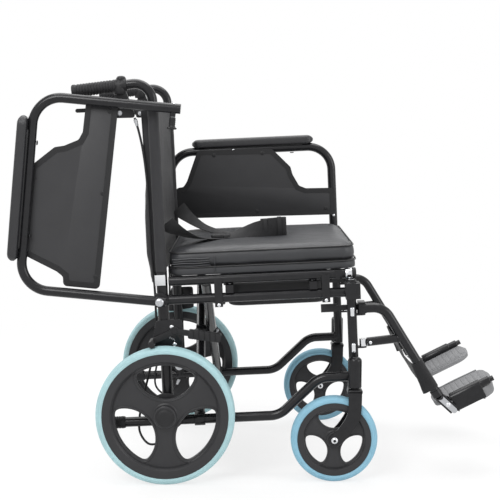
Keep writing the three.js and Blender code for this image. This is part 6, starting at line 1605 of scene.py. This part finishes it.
def web(name, controls, width, facing, replaces=()):
    """A flat band along a line. facing(line, i, along) gives the way that it looks at each point."""
    line = smooth_line([(x, y, CUSHION_TOP + z) for x, y, z in controls], 10)
    h, t = width / 2, BELT_THICKNESS / 2
    section = [(-h, -t * 0.4), (-h + 0.7, -t), (0, -t), (h - 0.7, -t), (h, -t * 0.4)]
    section += [(s, -u) for s, u in reversed(section)]
    lengths = lengths_along(line)
    rings = []
    for i, (before, point, after) in enumerate(neighbours(line)):
        along = (after - before).normalized()
        side = facing(line, i, along).cross(along).normalized()
        up = along.cross(side).normalized()
        rings.append([point + side * s + up * u for s, u in section])
    maker = Maker().ring_skin(rings, lambda i, j: (lengths[i] * MM, (section[j % 10][0] + h) * MM))
    return maker.finish(name, "right_frame", WEBBING, replaces, 50)


def strap_facing(line, i, along):
    """The strap lies flat in the middle, and its ends turn towards the sides."""
    share = clamped(min(i / (len(line) - 1), 1 - i / (len(line) - 1)) / 0.25)
    flat = share ** 2 * (3 - 2 * share)
    return Vector((0.2 * (1 - flat), -math.copysign(1 - flat, line[i].y), flat)).normalized()


def tail_facing(line, i, along):
    """The tail starts flat at the buckle and soon stands on its edge."""
    stand = min(1.0, i / (len(line) - 1) * 2.3)
    return (Z * (1 - stand) + along.cross(Z) * stand).normalized()


def belt():
    pieces = [web("belt_strap", BELT, BELT_WIDTH, strap_facing, ["lap_belt"]),
              web("belt_tail", TAIL, TAIL_WIDTH, tail_facing)]
    keepers = Maker()
    for x, z in ((247, 21.3), (281, 24.4)):
        low, high = (CUSHION_TOP + z + out * (TAIL_WIDTH / 2 + 1) for out in (-1, 1))
        for y in (-71.6, -51.4):
            keepers.block((x - 5, y, low), (x + 5, y + 1.8, high), 0.8)
        for level in (low, high - 1.6):
            keepers.block((x - 5, -71.6, level), (x + 5, -49.6, level + 1.6), 0.7)
    keepers = keepers.finish("belt_keepers", "right_frame", PLASTIC, crease=40)
    squash_with_fold([*pieces, buckle(), keepers])


def buckle():
    """A side-release buckle: two shells, two press tabs, ribs on its top and the bar for the strap."""
    x, y, z = 138, -62, CUSHION_TOP + 7.1
    maker = Maker().block((x - 22.5, y - 21.5, z - 6.6), (x + 6, y + 21.5, z + 6.6), 3.4, 4)
    maker.block((x + 2, y - 17, z - 4.6), (x + 22.6, y + 17, z + 4.6), 2.4, 3)
    for tab in (y - 19, y + 19):
        maker.block((x - 14, tab - 2.9, z - 4), (x + 2, tab + 2.9, z + 4), 1.6, 3)
    for rib in (x - 12, x - 6, x):
        maker.block((rib - 2, y - 12, z + 6), (rib, y + 12, z + 7), 0.4)
    maker.block((x - 22.9, y - 20, z - 1.4), (x - 18, y + 20, z + 5.4), 1.2)
    return maker.finish("belt_buckle", "right_frame", PLASTIC, crease=40)


STRAP_START, STRAP_WIDTH, STRAP_STEPS = 148, 72, 72


def calf_spot(u, v):
    """A place on the calf strap's front, u across the chair and v down the slope."""
    y = SIDE_Y * (2 * u - 1)
    sag = 8 * (1 - (y / SIDE_Y) ** 2) + 1.2 * ripple(y * 0.015, v * 3, 2.2)
    return on_slope(STRAP_START + STRAP_WIDTH * v, 11.3 + sag, y) + X * HINGE_PLACE


def calf_strap():
    """A band between the legrests with a sleeve round each tube, whose rear side runs out into the band."""
    rings = []
    for u in spread(0, 1, STRAP_STEPS):
        face = [calf_spot(u, v) for v in spread(0, 1, 12)]
        rings.append(face + [p + BEHIND * 2.6 for p in reversed(face)])
    maker = Maker().ring_skin(rings, lambda i, j: (i * 0.0065, min(j % 26, 25 - j % 26) * 0.006))
    pieces = [maker.finish("calf_band", "right_legrest", STRAP_CLOTH, ["calf_strap"], 50)]
    slope = spread(STRAP_START, STRAP_START + STRAP_WIDTH, 24)
    for side, way in SIDES.items():
        wrap = sleeve(
            [on_slope(along, 0, way * SIDE_Y) + X * HINGE_PLACE for along in slope], BEHIND,
            lambda a, row: 12.6 + 0.4 * ripple(math.cos(a) * 1.3 + way, math.sin(a) * 1.3, slope[row] * 0.06)
            + max(0.0, math.cos(a)) ** 4 * (3 + 11 * row / 24),
            36, lambda i, j: (j * 0.0022, i * 0.003))
        wrap.finish(f"{side}_calf_sleeve", f"{side}_legrest", STRAP_CLOTH, crease=50)
    for number, v in enumerate((0.06, 0.94)):
        line = [calf_spot(i / STRAP_STEPS, v) - BEHIND * 0.2 for i in range(5, STRAP_STEPS - 4)]
        pieces.append(stitch_line(f"calf_stitches_{number}", "right_legrest", "webbing", line, SEAM_GAUGE))
    squash_with_fold(pieces)


def seen_share(tree):
    """One for the rays that the camera sees by, straight on or in a mirror."""
    path = tree.nodes.new("ShaderNodeLightPath")
    share = path.outputs["Is Camera Ray"]
    for name in ("Is Glossy Ray", "Is Transmission Ray"):
        either = tree.nodes.new("ShaderNodeMath")
        either.operation = "MAXIMUM"
        tree.links.new(share, either.inputs[0])
        tree.links.new(path.outputs[name], either.inputs[1])
        share = either.outputs[0]
    return share


def mixed(tree, share, one, other):
    mix = tree.nodes.new("ShaderNodeMixShader")
    for socket, output in zip(mix.inputs, (share, one.outputs[0], other.outputs[0])):
        tree.links.new(output, socket)
    return mix.outputs[0]


def floor_look():
    """Pale paint that keeps a soft shadow near the chair and fades to plain white further out."""
    look = Look("floor_pale", (0.93, 0.93, 0.93), 0.9, level=0.1)
    tree = look.tree
    x, y = look.along(0), look.along(1)
    far = look.node("ShaderNodeMath", {"operation": "SQRT"}, x * x + y * y)
    fade = look.node("ShaderNodeMapRange", {"interpolation_type": "SMOOTHSTEP"}, far, *FLOOR_FADE)
    glow = tree.nodes.new("ShaderNodeEmission")
    glow.inputs["Strength"].default_value = 1.0
    seen = Wire(look, seen_share(tree)) * fade
    result = next(n for n in tree.nodes if n.type == "OUTPUT_MATERIAL")
    tree.links.new(mixed(tree, seen.socket, look.shader, glow), result.inputs[0])
    return look.done()


def room():
    """A pale floor that shows plain white to the camera, with the chair's shadow on it."""
    floor = bpy.data.meshes.new("floor")
    floor.from_pydata(FLOOR_CORNERS, [], [(0, 1, 2, 3)])
    ground = placed("floor", floor)
    ground.data.materials.append(floor_look())
    world = bpy.data.worlds.new("studio")
    bpy.context.scene.world = world
    world.use_nodes = True
    tree = world.node_tree
    tree.nodes.clear()
    result = tree.nodes.new("ShaderNodeOutputWorld")
    skies = []
    for strength in (SKY, 1.0):
        sky = tree.nodes.new("ShaderNodeBackground")
        sky.inputs["Color"].default_value = (1, 1, 1, 1)
        sky.inputs["Strength"].default_value = strength
        skies.append(sky)
    tree.links.new(mixed(tree, seen_share(tree), *skies), result.inputs[0])


camera()
for side in SIDES:
    brake_cable(side)
SIDE_PARTS = (side_frame, cane, grip, brake, tip_cap, post_plug, wheel_lock, rear_wheel, caster, armrest,
              legrest)
for side in SIDES:
    for part in SIDE_PARTS:
        part(side)
braces()
pan()
cushion()
back()
belt()
calf_strap()
room()
lights()
bpy.context.scene.view_settings.view_transform = "Standard"
